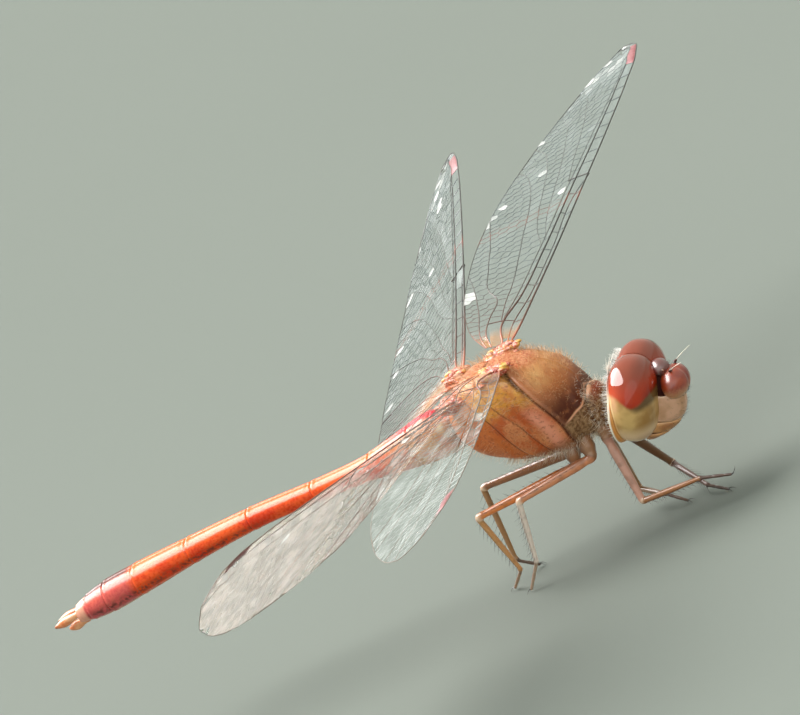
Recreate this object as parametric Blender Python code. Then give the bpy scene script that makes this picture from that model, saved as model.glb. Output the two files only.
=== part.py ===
"""A perched meadowhawk dragonfly, life size, as a museum shows it.

Axes: +X towards the head, +Y to the insect's left, +Z up; the feet stand on Z = 0.
Sizes are in millimetres from the middle of the thorax (BODY_ORIGIN) and become metres when
a mesh is made. Each plate, limb segment, eye and wing is a closed solid of its own, parted
from its neighbours by a thin cut.
"""

import math

import bmesh
import bpy
import numpy as np
from mathutils import Matrix, Vector

MM = 0.001
CUT = 0.04  # the thin cut between neighbouring parts
BODY_ORIGIN = (9.3, -0.2, 7.75)  # the middle of the thorax above the floor
FLOOR = -BODY_ORIGIN[2]
SIDES = (("left", 1), ("right", -1))

# Thorax: its top, bottom and half width at places from its rear to its front.
THORAX_X = (-4.2, -3.5, -2.4, -1.0, 0.0, 0.7, 1.2, 1.6, 1.95)
THORAX_TOP = (1.0, 1.7, 2.05, 2.1, 2.0, 1.6, 1.15, 0.55, -0.15)
THORAX_BOTTOM = (-0.75, -1.4, -2.1, -2.6, -2.85, -2.95, -2.75, -2.1, -1.2)
THORAX_HALF = (0.95, 1.5, 1.95, 2.15, 2.15, 2.05, 1.8, 1.35, 0.8)
THORAX_WAIST = -0.3  # the height at which it is widest
PROTHORAX_CENTRE, PROTHORAX_HALF = (1.85, 0.0, -1.75), (0.93, 1.2, 1.2)
NECK_LINE, NECK_RADIUS = ((2.5, 0.0, -1.7), (3.7, 0.0, -1.98)), 0.5

# Abdomen: ten segment lengths, then height, width and the line's droop along it.
SEGMENT_LENGTHS = (0.85, 1.3, 2.3, 3.1, 3.35, 3.3, 2.9, 1.65, 1.1, 0.6)
ABDOMEN_START = THORAX_X[0] - CUT
ABDOMEN_PLACES = (0.0, 1.0, 2.2, 3.3, 4.6, 7.0, 10.5, 14.0, 17.0, 18.7, 19.8, 20.45)
ABDOMEN_HIGH = (2.1, 2.3, 2.0, 1.65, 1.25, 1.05, 1.05, 1.22, 1.45, 1.48, 1.2, 0.85)
ABDOMEN_WIDE = (1.7, 2.2, 2.1, 1.75, 1.4, 1.25, 1.3, 1.55, 1.85, 1.8, 1.4, 1.05)
DROOP_PLACES, DROOP = (0.0, 5.0, 11.0, 16.5, 20.45, 22.0), (0.12, 0.02, 0.14, -0.16, -0.5, -0.66)
CERCUS_LENGTH, EPIPROCT_LENGTH = 1.35, 0.9

# Head, in its own axes: it is turned nose down by HEAD_PITCH about HEAD_CENTRE.
HEAD_CENTRE, HEAD_PITCH = (4.0, 0.0, -1.95), 25.0
EYE_CENTRE, EYE_HALF = (-0.05, 0.8, 0.08), (1.18, 1.8, 1.92)
CORE_CENTRE, CORE_HALF = (-0.05, 0.0, -0.35), (1.1, 1.45, 1.55)
FACE_BACK = 0.55
FACE_Z = (-2.1, -1.75, -1.2, -0.55, -0.2, 0.3, 0.8, 1.15)
FACE_FRONT = (0.95, 1.4, 1.8, 2.0, 2.15, 2.35, 2.2, 1.7)
FACE_HALF = (0.75, 1.0, 1.12, 1.12, 1.12, 1.12, 0.95, 0.65)
FACE_PLATES = (("labium", -2.1, -1.7), ("labrum", -1.7, -1.15), ("clypeus", -1.15, -0.4), ("frons", -0.4, 1.15))
ANTENNA_ROOT, ANTENNA_LEAN = (1.62, 0.42, 1.2), (0.55, 0.45, 0.7)
ANTENNA_LENGTH, ANTENNA_RADIUS = 1.7, 0.25

# Wings: leading and trailing edges off the wing's line at shares of its span.
WING_THICK = 0.5
FORE = dict(
    span=24.8, places=(0.0, 0.04, 0.15, 0.3, 0.5, 0.68, 0.82, 0.92, 0.975, 1.0),
    lead=(0.0, 0.1, 0.2, 0.3, 0.35, 0.4, 0.35, 0.1, -0.55, -1.5),
    trail=(-1.2, -2.0, -3.3, -4.3, -5.1, -5.2, -4.7, -3.8, -2.8, -1.7),
)
HIND = dict(
    span=22.6, places=(0.0, 0.04, 0.13, 0.28, 0.48, 0.68, 0.82, 0.92, 0.975, 1.0),
    lead=(0.0, 0.1, 0.2, 0.3, 0.35, 0.35, 0.25, -0.05, -0.7, -1.6),
    trail=(-1.6, -4.2, -6.5, -6.9, -6.5, -5.8, -5.0, -3.9, -2.9, -1.8),
)
# name, side, outline, root, sweep forward, rise, pitch at the root and at the tip
WINGS = (
    ("wing_fore_left", 1, FORE, (-0.64, 1.3, 2.1), 4.5, 6.3, (-12.0, 15.5)),
    ("wing_fore_right", -1, FORE, (-0.5, 1.3, 2.05), 13.8, 7.1, (-14.0, 22.0)),
    ("wing_hind_left", 1, HIND, (-3.2, 1.3, 1.95), -12.6, 7.4, (24.5, 39.5)),
    ("wing_hind_right", -1, HIND, (-3.1, 1.3, 1.6), -9.1, 11.5, (28.0, 41.0)),
)

# Legs: coxa top, hip, knee, ankle and toe. The right fore foot is held clear of the floor.
LIMB_SEGMENTS = (("coxa", 0.42, 0.32), ("femur", 0.31, 0.26), ("tibia", 0.25, 0.25), ("tarsus", 0.25, 0.25))
LEGS = (
    ("fore_right", (2.0, -0.55, -2.3), (1.9, -0.85, -3.0), (2.1, -1.6, -6.05), (5.15, -1.85, -6.1), (6.5, -1.7, -6.6)),
    ("fore_left", (1.9, 0.55, -2.3), (1.75, 0.75, -3.1), (2.42, 2.3, -6.3), (4.25, 0.3, -7.25), (5.3, -0.25, FLOOR)),
    ("mid_right", (0.9, -0.75, -2.5), (0.95, -1.15, -3.4), (-2.4, -2.8, -3.3), (-3.67, -1.9, -6.45), (-4.8, -1.6, FLOOR)),
    ("mid_left", (1.0, 0.75, -2.5), (1.05, 1.05, -3.5), (0.45, 2.2, -6.7), (2.0, 0.9, -7.0), (2.95, 0.6, FLOOR)),
    ("hind_right", (0.1, -0.65, -2.5), (0.05, -1.0, -3.5), (-4.5, -2.8, -3.2), (-4.9, -1.1, -6.75), (-6.0, -0.4, FLOOR)),
    ("hind_left", (0.0, 0.65, -2.5), (-0.1, 0.95, -3.5), (-5.6, 1.5, -3.45), (-5.85, 0.95, -6.95), (-5.0, 1.1, FLOOR)),
)

for old in list(bpy.data.objects):
    bpy.data.objects.remove(old)

body = bpy.data.objects.new("body_origin", None)
body.location = Vector(BODY_ORIGIN) * MM
bpy.context.scene.collection.objects.link(body)


def smooth(at, places, values):
    """A smooth curve through a few (place, value) pairs: cubic pieces with averaged slopes."""
    places, values = np.asarray(places, float), np.asarray(values, float)
    slopes = np.gradient(values, places)
    at = np.clip(np.asarray(at, float), places[0], places[-1])
    k = np.clip(np.searchsorted(places, at) - 1, 0, len(places) - 2)
    width = places[k + 1] - places[k]
    t = (at - places[k]) / width
    return (
        (2 * t**3 - 3 * t**2 + 1) * values[k]
        + (t**3 - 2 * t**2 + t) * width * slopes[k]
        + (3 * t**2 - 2 * t**3) * values[k + 1]
        + (t**3 - t**2) * width * slopes[k + 1]
    )


def material(name, colour, roughness=0.45):
    made = bpy.data.materials.new(name)
    made.use_nodes = True
    shader = made.node_tree.nodes["Principled BSDF"]
    shader.inputs["Base Color"].default_value = (*colour, 1.0)
    shader.inputs["Roughness"].default_value = roughness
    return made


THORAX_BROWN = material("thorax_brown", (0.42, 0.17, 0.05), 0.5)
ABDOMEN_RED = material("abdomen_red", (0.75, 0.10, 0.03), 0.3)
EYE_RED = material("eye_red", (0.30, 0.04, 0.02), 0.15)
FACE_TAN = material("face_tan", (0.62, 0.33, 0.13), 0.4)
FACE_RED = material("face_red", (0.55, 0.12, 0.03), 0.4)
LEG_TAN = material("leg_tan", (0.50, 0.26, 0.10), 0.45)
WING_CLEAR = material("wing_clear", (0.75, 0.72, 0.66), 0.2)


def add(name, shape, finish, at=(0, 0, 0), cutter=False):
    """The bmesh as a named object, with its own origin at a point of the body."""
    bmesh.ops.recalc_face_normals(shape, faces=shape.faces)
    bmesh.ops.transform(shape, matrix=Matrix.Scale(MM, 4) @ Matrix.Translation(-Vector(at)), verts=shape.verts)
    mesh = bpy.data.meshes.new(name)
    shape.to_mesh(mesh)
    shape.free()
    mesh.materials.append(finish)
    mesh.shade_smooth()
    mesh.set_sharp_from_angle(angle=math.radians(40))
    obj = bpy.data.objects.new(name, mesh)
    obj.parent = body
    obj.location = Vector(at) * MM
    bpy.context.scene.collection.objects.link(obj)
    if cutter:
        obj.hide_render = True
        obj.display_type = "WIRE"
    return obj


def cut(obj, *cutters):
    for cutter in cutters:
        step = obj.modifiers.new(cutter.name, "BOOLEAN")
        step.operation = "DIFFERENCE"
        step.solver = "EXACT"
        step.object = cutter


def loft(rings):
    """Rings of points bridged one to the next, with a flat cap at each end."""
    shape = bmesh.new()
    loops = []
    for ring in rings:
        corners = [shape.verts.new(point) for point in ring]
        loops.append([shape.edges.new(pair) for pair in zip(corners, corners[1:] + corners[:1])])
    for near, far in zip(loops, loops[1:]):
        bmesh.ops.bridge_loops(shape, edges=near + far)
    for end in (loops[0], loops[-1]):
        bmesh.ops.edgeloop_fill(shape, edges=end)
    return shape


def section(x, half_width, top, bottom, around, side_power, height_power):
    """A ring across X: an ellipse with its own height above and below, boxier for lower powers."""
    t = np.linspace(0, 2 * math.pi, around, endpoint=False)
    c, s = np.cos(t), np.sin(t)
    side = half_width * np.sign(c) * np.abs(c) ** side_power
    height = np.sign(s) * np.where(s >= 0, top, bottom) * np.abs(s) ** height_power
    return np.stack([np.full(around, x), side, height], -1)


def ball(centre, half, pose=Matrix(), around=20, rows=12):
    """A sphere stretched to three half sizes, its poles along X."""
    shape = bmesh.new()
    place = pose @ Matrix.Translation(centre) @ Matrix.Diagonal((*half, 1)) @ Matrix.Rotation(math.pi / 2, 4, "Y")
    bmesh.ops.create_uvsphere(shape, u_segments=around, v_segments=rows, radius=1, matrix=place)
    return shape


def grown(half, by=CUT):
    return tuple(h + by for h in half)


def slice_off(shape, point, normal):
    """Cuts away all that lies beyond a plane, and closes the cut."""
    bmesh.ops.bisect_plane(
        shape, geom=shape.verts[:] + shape.edges[:] + shape.faces[:],
        plane_co=point, plane_no=normal, clear_outer=True, dist=1e-5,
    )
    bmesh.ops.holes_fill(shape, edges=[e for e in shape.edges if e.is_boundary])


def limb(start, stop, radii, around=8, spare=(0.0, 0.0)):
    """A tapered rod between two points, longer by the spare lengths."""
    start, stop = Vector(start), Vector(stop)
    way = (stop - start).normalized()
    start, stop = start - way * spare[0], stop + way * spare[1]
    place = Matrix.Translation((start + stop) / 2) @ way.to_track_quat("Z", "Y").to_matrix().to_4x4()
    shape = bmesh.new()
    bmesh.ops.create_cone(
        shape, cap_ends=True, segments=around, radius1=radii[0], radius2=radii[1],
        depth=(stop - start).length, matrix=place,
    )
    return shape


def thorax_shape(grow=0.0, around=24, steps=16):
    """Sections of the winged thorax from its rear to its front, grown by a margin."""
    rings = []
    for x in np.linspace(THORAX_X[0], THORAX_X[-1], steps):
        top = smooth(x, THORAX_X, THORAX_TOP) - THORAX_WAIST + grow
        bottom = THORAX_WAIST - smooth(x, THORAX_X, THORAX_BOTTOM) + grow
        ring = section(x, smooth(x, THORAX_X, THORAX_HALF) + grow, top, bottom, around, 0.7, 0.85)
        rings.append(ring + (0, 0, THORAX_WAIST))
    rings[0][:, 0] -= grow
    rings[-1][:, 0] += grow
    return loft(rings)


thorax = add("thorax", thorax_shape(), THORAX_BROWN)
thorax_room = add("thorax_room", thorax_shape(CUT), THORAX_BROWN, cutter=True)


def abdomen():
    """Ten segments end to end, each a tube from one joint to the next."""
    start = 0.0
    for number, length in enumerate(SEGMENT_LENGTHS, 1):
        rings = []
        for along in np.linspace(start, start + length - CUT, 4 if length > 1.5 else 3):
            high = smooth(along, ABDOMEN_PLACES, ABDOMEN_HIGH) / 2
            wide = smooth(along, ABDOMEN_PLACES, ABDOMEN_WIDE) / 2
            ring = section(ABDOMEN_START - along, wide, high, 0.92 * high, 16, 0.9, 0.95)
            rings.append(ring + (0, 0, smooth(along, DROOP_PLACES, DROOP)))
        joint = (ABDOMEN_START - start, 0, smooth(start, DROOP_PLACES, DROOP))
        add(f"abdomen_{number:02d}", loft(rings), ABDOMEN_RED, at=joint)
        start += length
    return ABDOMEN_START - start, smooth(start, DROOP_PLACES, DROOP)


def tail_appendages(x, z):
    """Two tapering cerci side by side, and the shorter epiproct below them."""
    for side, sign in SIDES:
        root, tip = (x, sign * 0.3, z + 0.12), (x - CERCUS_LENGTH, sign * 0.3, z - 0.02)
        add(f"cercus_{side}", limb(root, tip, (0.26, 0.17)), FACE_TAN, at=root)
    root, tip = (x, 0, z - 0.37), (x - EPIPROCT_LENGTH, 0, z - 0.43)
    add("epiproct", limb(root, tip, (0.2, 0.17)), FACE_TAN, at=root)


tail_appendages(*abdomen())

HEAD_POSE = Matrix.Translation(HEAD_CENTRE) @ Matrix.Rotation(math.radians(HEAD_PITCH), 4, "Y")


def face_shape(low, high, steps, grow=0.0, around=18):
    """The face between two levels: flat at the back, round at the front."""
    rings = []
    for z in np.linspace(low, high, steps):
        front = smooth(z, FACE_Z, FACE_FRONT) + grow
        half = smooth(z, FACE_Z, FACE_HALF) + grow
        t = np.linspace(-math.pi / 2, math.pi / 2, around)
        x = FACE_BACK - grow + (front - FACE_BACK + grow) * np.cos(t) ** 0.8
        rings.append(np.stack([x, half * np.sin(t), np.full(around, z)], -1))
    shape = loft(rings)
    bmesh.ops.transform(shape, matrix=HEAD_POSE, verts=shape.verts)
    return shape


core = add("head", ball(CORE_CENTRE, CORE_HALF, HEAD_POSE), THORAX_BROWN, at=HEAD_CENTRE)
core_room = add("core_room", ball(CORE_CENTRE, grown(CORE_HALF), HEAD_POSE), THORAX_BROWN, cutter=True)
face_room = add(
    "face_room", face_shape(FACE_Z[0] - CUT, FACE_Z[-1] + CUT, 12, CUT), FACE_TAN, cutter=True
)
cut(core, face_room)
for plate, low, high in FACE_PLATES:
    shape = face_shape(low + CUT / 2, high - CUT / 2, 6 if plate == "frons" else 3)
    add(plate, shape, FACE_RED if plate == "frons" else FACE_TAN, at=HEAD_CENTRE)
for side, sign in SIDES:
    centre = (EYE_CENTRE[0], sign * EYE_CENTRE[1], EYE_CENTRE[2])
    shape = ball(centre, EYE_HALF, HEAD_POSE, around=24, rows=14)
    slice_off(shape, (0, sign * CUT / 2, 0), (0, -sign, 0))
    eye = add(f"eye_{side}", shape, EYE_RED, at=HEAD_POSE @ Vector(centre))
    cut(eye, core_room, face_room)
    root = HEAD_POSE @ Vector((ANTENNA_ROOT[0], sign * ANTENNA_ROOT[1], ANTENNA_ROOT[2]))
    lean = HEAD_POSE.to_3x3() @ Vector((ANTENNA_LEAN[0], sign * ANTENNA_LEAN[1], ANTENNA_LEAN[2])).normalized()
    shape = limb(root + lean * 0.15, root + lean * ANTENNA_LENGTH, (ANTENNA_RADIUS, ANTENNA_RADIUS), around=6)
    add(f"antenna_{side}", shape, LEG_TAN, at=root)

prothorax = add("prothorax", ball(PROTHORAX_CENTRE, PROTHORAX_HALF), THORAX_BROWN, at=PROTHORAX_CENTRE)
prothorax_room = add(
    "prothorax_room", ball(PROTHORAX_CENTRE, grown(PROTHORAX_HALF)), THORAX_BROWN, cutter=True
)
cut(prothorax, thorax_room, core_room)
neck = add("neck", limb(*NECK_LINE, (NECK_RADIUS, NECK_RADIUS), around=12), THORAX_BROWN, at=NECK_LINE[0])
cut(neck, thorax_room, prothorax_room, core_room)


def wing_point(outline, sign, root, sweep, rise, pitch, span_share, chord_share):
    """A point of a wing's middle surface: from its leading edge (0) to its trailing edge (1),
    pitched about the leading edge more and more towards the tip, then raised and swept."""
    lead = smooth(span_share, outline["places"], outline["lead"])
    trail = smooth(span_share, outline["places"], outline["trail"])
    pitched = math.radians(pitch[0] + (pitch[1] - pitch[0]) * span_share)
    chord = lead + (trail - lead) * chord_share
    flat = Vector((chord * math.cos(pitched), span_share * outline["span"], chord * math.sin(pitched)))
    turn = Matrix.Rotation(math.radians(-sweep), 3, "Z") @ Matrix.Rotation(math.radians(rise), 3, "X")
    point = turn @ flat + Vector(root)
    return Vector((point.x, sign * point.y, point.z))


for name, sign, outline, root, sweep, rise, pitch in WINGS:
    shape = bmesh.new()
    bmesh.ops.create_grid(shape, x_segments=5, y_segments=15, size=0.5)
    for corner in shape.verts:
        # Rows lie closer together near the root and the tip, where the outline turns.
        span_share = 0.5 - 0.5 * math.cos(math.pi * (corner.co.y + 0.5))
        corner.co = wing_point(outline, sign, root, sweep, rise, pitch, span_share, corner.co.x + 0.5)
    base = (root[0], sign * root[1], root[2])
    wing = add(name, shape, WING_CLEAR, at=base)
    solid = wing.modifiers.new("thickness", "SOLIDIFY")
    solid.thickness = WING_THICK * MM
    solid.offset = 0.0
    cut(wing, thorax_room)


def joint_cut(joint, before, after, radius):
    """The plane between two limb segments. A slight bend is halved. At a sharp one the second
    segment starts at the first one's side, and the first runs on to close the corner."""
    if before.dot(after) > 0.35:
        return joint, (before + after).normalized(), False
    normal = (after - before * after.dot(before)).normalized()
    return joint + normal * radius, normal, True


for name, *joints in LEGS:
    joints = [Vector(j) for j in joints]
    ways = [(b - a).normalized() for a, b in zip(joints, joints[1:])]
    start = None
    for i, (part, wide, narrow) in enumerate(LIMB_SEGMENTS):
        spare, stop, following = [0.0, 0.0], None, None
        if start:
            spare[0] = 3 * wide
        if part == "tarsus":
            if joints[4].z == FLOOR:
                spare[1], stop = 3 * wide, (joints[4], Vector((0, 0, -1)))
        else:
            spot, normal, sharp = joint_cut(joints[i + 1], ways[i], ways[i + 1], narrow)
            following = (spot + normal * CUT, normal)
            if sharp:
                spare[1] = 0.8 * narrow
            else:
                spare[1], stop = 3 * narrow, (spot, normal)
        shape = limb(joints[i], joints[i + 1], (wide, narrow), spare=spare)
        if start:
            slice_off(shape, start[0], -start[1])
        if stop:
            slice_off(shape, *stop)
        segment = add(f"leg_{name}_{part}", shape, LEG_TAN, at=joints[i])
        start = following
        if part == "coxa":
            cut(segment, thorax_room, prothorax_room)
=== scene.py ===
"""A perched meadowhawk dragonfly, life size: its skin, eyes, wings, legs and hair.

Lengths are in millimetres from the middle of the thorax, with +X towards the head, +Y to the
insect's left and +Z up. They become metres in the row frame when a mesh is made.
"""

import math

import bpy
import numpy as np
from mathutils import Matrix, Vector
from mathutils.geometry import delaunay_2d_cdt


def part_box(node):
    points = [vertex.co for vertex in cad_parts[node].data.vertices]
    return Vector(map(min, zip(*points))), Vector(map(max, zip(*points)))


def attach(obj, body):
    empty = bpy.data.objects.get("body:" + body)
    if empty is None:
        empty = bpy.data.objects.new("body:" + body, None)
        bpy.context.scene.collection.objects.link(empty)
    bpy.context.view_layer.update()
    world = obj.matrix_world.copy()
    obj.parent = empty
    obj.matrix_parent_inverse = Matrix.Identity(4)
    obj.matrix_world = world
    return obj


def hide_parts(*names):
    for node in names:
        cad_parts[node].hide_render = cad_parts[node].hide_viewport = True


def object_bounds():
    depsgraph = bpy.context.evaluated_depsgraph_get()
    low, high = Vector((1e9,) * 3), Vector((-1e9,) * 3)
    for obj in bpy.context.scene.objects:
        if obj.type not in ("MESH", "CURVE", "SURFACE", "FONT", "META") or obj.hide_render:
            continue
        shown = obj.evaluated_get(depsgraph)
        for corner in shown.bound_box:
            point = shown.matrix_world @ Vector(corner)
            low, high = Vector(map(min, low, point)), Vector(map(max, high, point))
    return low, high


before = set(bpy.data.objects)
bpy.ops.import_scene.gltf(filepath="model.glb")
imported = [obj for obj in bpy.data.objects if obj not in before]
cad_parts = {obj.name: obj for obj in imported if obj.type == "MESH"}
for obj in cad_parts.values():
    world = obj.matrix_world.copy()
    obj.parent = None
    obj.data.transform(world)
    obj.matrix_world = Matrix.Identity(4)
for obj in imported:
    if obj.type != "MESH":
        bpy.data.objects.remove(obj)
cad_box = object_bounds()

# ------------------------------------------------------------
# Body skin. The real one is a single shell of hard cuticle from the neck to the tail: a deep
# thorax of slanting plates parted by sutures, and a slim abdomen of ten rings that slide into
# each other. The cuticle is smooth and waxy, rust brown in front and bright red behind.
# ------------------------------------------------------------
MM = 0.001
FLOOR = -7.75  # how far the floor lies below the middle of the thorax
THORAX_REAR = -4.2
THORAX_X = (-3.5, -2.4, -1.0, 0.0, 0.7, 1.2)
THORAX_TOP = (1.7, 2.05, 2.05, 1.8, 1.4, 1.02)
THORAX_BOTTOM = (-1.4, -2.1, -2.6, -2.85, -2.95, -2.75)
THORAX_HALF = (1.5, 1.95, 2.15, 2.15, 2.05, 1.8)
THORAX_SIDE_POWER = (0.7, 0.7, 0.75, 0.85, 0.92, 0.95)
THORAX_MIDDLE = (-0.3, -0.3, -0.3, -0.3, -0.35, -0.55)
WAIST = dict(x=-4.22, top=1.0, bottom=-0.78, half=0.85, middle=0.0)
# The front face of the thorax, the collar's groove, the small prothorax and the neck.
FRONT_X = (1.6, 1.85, 1.97, 2.1, 2.35, 2.6, 2.74, 2.95, 3.7)
FRONT_TOP = (0.55, -0.02, -0.6, -0.62, -0.72, -1.05, -1.27, -1.3, -1.48)
FRONT_BOTTOM = (-2.88, -2.93, -2.95, -2.92, -2.75, -2.45, -2.26, -2.3, -2.48)
FRONT_HALF = (1.38, 1.24, 1.16, 1.14, 1.0, 0.7, 0.48, 0.48, 0.5)
FRONT_MIDDLE = (-1.0, -1.4, -1.7, -1.75, -1.75, -1.76, -1.78, -1.8, -1.98)
SEGMENT_LENGTHS = (0.85, 1.3, 2.3, 3.1, 3.35, 3.3, 2.9, 1.65, 1.1, 0.6)
ABDOMEN_START = -4.24
ABDOMEN_PLACES = (1.0, 2.2, 3.3, 4.6, 7.0, 10.5, 14.0, 17.0, 18.7, 19.8, 20.45)
ABDOMEN_HIGH = (2.3, 2.0, 1.65, 1.25, 1.05, 1.05, 1.22, 1.45, 1.48, 1.2, 0.85)
ABDOMEN_WIDE = (2.2, 2.1, 1.75, 1.4, 1.25, 1.3, 1.55, 1.85, 1.8, 1.4, 1.05)
DROOP_PLACES, DROOP = (0.0, 5.0, 11.0, 16.5, 20.45, 22.0), (0.12, 0.02, 0.14, -0.16, -0.5, -0.66)
SKIN_INSET = 0.02  # how far the skin lies inside the solids
SHARP_ANGLE = math.radians(50)
GROOVE_DEPTH = 0.075
# The three sutures on each side: heights, and how far forward the groove is at each.
HUMERAL = ((-2.7, -2.06, -1.22, -0.08, 0.92, 1.65, 2.1), (0.72, 0.78, 0.84, 0.54, 0.08, -0.4, -0.75))
SIDE_SUTURE = ((-2.6, -1.0, -0.3, 0.28, 1.0, 1.7), (-0.3, -0.6, -0.83, -1.2, -1.6, -1.95))
REAR_SUTURE = ((-2.3, -0.8, 0.27, 1.0, 1.5), (-1.25, -1.65, -2.0, -2.45, -2.8))
SUTURES = ((HUMERAL, 0.055, 1.0), (SIDE_SUTURE, 0.05, 0.75), (REAR_SUTURE, 0.05, 0.8))  # width and depth

rear_end, front_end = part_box("thorax")
middle_y = (rear_end.y + front_end.y) / 2
BODY = np.array((rear_end.x / MM - THORAX_REAR, middle_y / MM, cad_box[0].z / MM - FLOOR))


def smooth(at, places, values):
    """A smooth curve through a few (place, value) pairs: cubic pieces whose slopes are the
    averages of the straight lines on either side."""
    places, values = np.asarray(places, float), np.asarray(values, float)
    slopes = np.gradient(values, places)
    at = np.clip(np.asarray(at, float), places[0], places[-1])
    k = np.clip(np.searchsorted(places, at) - 1, 0, len(places) - 2)
    width = places[k + 1] - places[k]
    t = (at - places[k]) / width
    return (
        (2 * t**3 - 3 * t**2 + 1) * values[k]
        + (t**3 - 2 * t**2 + t) * width * slopes[k]
        + (3 * t**2 - 2 * t**3) * values[k + 1]
        + (t**3 - t**2) * width * slopes[k + 1]
    )


def ease(x, low, high):
    """0 below low, 1 above high, and a smooth step 3t^2 - 2t^3 between them."""
    t = np.clip((x - low) / (high - low), 0, 1)
    return t * t * (3 - 2 * t)


def hump(x, width):
    """A bell exp(-(x / width)^2), for a ridge or a groove."""
    return np.exp(-((x / width) ** 2))


def unit(vectors):
    """The vectors, each at length 1."""
    return vectors / np.linalg.norm(vectors, axis=-1, keepdims=True)


def turns(count):
    """Equal steps once round a circle, from 0."""
    return np.linspace(0, 2 * math.pi, count, endpoint=False)


def grid(first, second):
    """Every pair of two rows of numbers, as two tables."""
    return np.meshgrid(first, second, indexing="ij")


def body_profile():
    """Columns of stations from the tail to the neck: x, top, bottom, half width, middle height,
    then how round the section is to the side and in height (1 is an ellipse)."""
    places = np.array(ABDOMEN_PLACES)[::-1]
    line = smooth(places, DROOP_PLACES, DROOP)
    high, wide = np.array(ABDOMEN_HIGH)[::-1] / 2, np.array(ABDOMEN_WIDE)[::-1] / 2
    ones = np.ones_like(places)
    abdomen = np.stack(
        [ABDOMEN_START - places, line + high, line - 0.92 * high, wide, line, 0.9 * ones, 0.95 * ones], 1
    )
    waist = [[WAIST["x"], WAIST["top"], WAIST["bottom"], WAIST["half"], WAIST["middle"], 0.85, 0.9]]
    thorax = np.stack([THORAX_X, THORAX_TOP, THORAX_BOTTOM, THORAX_HALF, THORAX_MIDDLE], 1)
    thorax = np.hstack([thorax, np.stack([THORAX_SIDE_POWER, 0 * thorax[:, 0] + 0.88], 1)])
    front = np.stack([FRONT_X, FRONT_TOP, FRONT_BOTTOM, FRONT_HALF, FRONT_MIDDLE], 1)
    front = np.hstack([front, np.linspace((0.95, 0.9), (1, 1), len(front))])
    return np.vstack([abdomen, waist, thorax, front]).T


PROFILE = body_profile()
RING_ENDS = ABDOMEN_START - np.cumsum(SEGMENT_LENGTHS)


def body_relief(x, y, z, angle):
    """How far the skin stands out (mm), and how deep in a groove it is (0 to 1).
    Abdomen: a groove where each ring ends, a lip before it, a keel on top and a ridge low on
    each side. Thorax: three slanting sutures, a keel down its front and a low swelling between
    the sutures. The belly has a fold on either side of its midline."""
    out, grooves = np.zeros_like(x), [np.zeros_like(x)]
    for end in RING_ENDS[:-1]:
        grooves.append(0.6 * hump(x - end, 0.04))
        out += 0.02 * hump(x - end - 0.13, 0.09) - 0.015 * hump(x - end + 0.16, 0.1)
    tail = ease(-x, 4.1, 4.6)
    slope = np.degrees(angle)
    out += tail * 0.035 * hump(slope - 90, 4)
    for ridge, fold in ((-35, -62), (215, 242)):
        out += tail * 0.022 * hump(slope - ridge, 3.5) * ease(-x, 6, 8)
        grooves.append(0.6 * tail * hump(slope - fold, 4))
    grooves.append(hump(x - WAIST["x"], 0.12))
    chest = ease(x, THORAX_REAR, -3.6) * (1 - ease(x, 1.75, 1.95))
    flank = chest * ease(np.abs(y), 0.7, 1.1)
    for (heights, forward), width, depth in SUTURES:
        away = (x - smooth(z, heights, forward)) * 0.85
        grooves.append(depth * flank * hump(away, width))
        out += flank * (0.05 * hump(away - 0.13, 0.08) + 0.06 * hump(away + 0.42, 0.3))
    out += chest * 0.07 * hump(y, 0.07) * ease(x, -0.2, 0.5) * ease(z, -0.6, 0)
    grooves.append(chest * 0.5 * hump(np.abs(y) - 0.16, 0.06) * ease(x, 0.1, 0.6) * ease(z, -0.6, 0))
    grooves.append(0.9 * hump(x - 1.99, 0.06) + 0.6 * hump(x - 2.72, 0.08))
    # Scutum and scutellum: two low domes on the back between the wings.
    back = chest * ease(z, 1.2, 1.7) * (1 - ease(np.abs(y), 0.7, 1.1))
    out += back * (0.1 * hump(x + 0.75, 0.55) + 0.09 * hump(x + 2.45, 0.5))
    grooves.append(back * (0.9 * hump(x + 1.6, 0.12) + 0.8 * hump(x + 3.2, 0.12)))
    groove = np.maximum.reduce(grooves)
    return out - GROOVE_DEPTH * groove, np.clip(groove, 0, 1)


def body_point(x, angle, with_groove=False):
    """The skin at a place along the body and an angle round it (0 left, 90 degrees on top):
    a superellipse |cos|^a, |sin|^b with its own reach up, down and to the side, plus relief."""
    top, bottom, half, middle, side_power, high_power = (smooth(x, PROFILE[0], row) for row in PROFILE[1:])
    c, s = np.cos(angle), np.sin(angle)
    y = half * np.sign(c) * np.abs(c) ** side_power
    up = np.where(s >= 0, top - middle, middle - bottom) * np.sign(s) * np.abs(s) ** high_power
    reach = np.maximum(np.hypot(y, up), 1e-6)
    out, groove = body_relief(x, y, middle + up, angle)
    grown = 1 + (out - SKIN_INSET) / reach
    points = np.stack([x, y * grown, middle + up * grown], -1)
    return (points, groove) if with_groove else points


def grid_faces(rows, columns, wrap=True):
    """The quads of a grid of points stored row by row, joined round to its first column."""
    i, j = grid(np.arange(rows - 1), np.arange(columns if wrap else columns - 1))
    a, b = i * columns + j, i * columns + (j + 1) % columns
    return np.stack([a, b, b + columns, a + columns], -1).reshape(-1, 4)


def capped(rows, columns):
    """The faces of a closed tube: its quads and a flat cap at each end."""
    ends = [list(range(columns))[::-1], list(range((rows - 1) * columns, rows * columns))]
    return grid_faces(rows, columns).tolist() + ends


def signed_volume(points, faces):
    """Six times the volume that the faces close in, from each face's first three corners."""
    corners = points[np.array([face[:3] for face in faces])]
    return np.einsum("ij,ij->i", corners[:, 0], np.cross(corners[:, 1], corners[:, 2])).sum()


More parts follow.
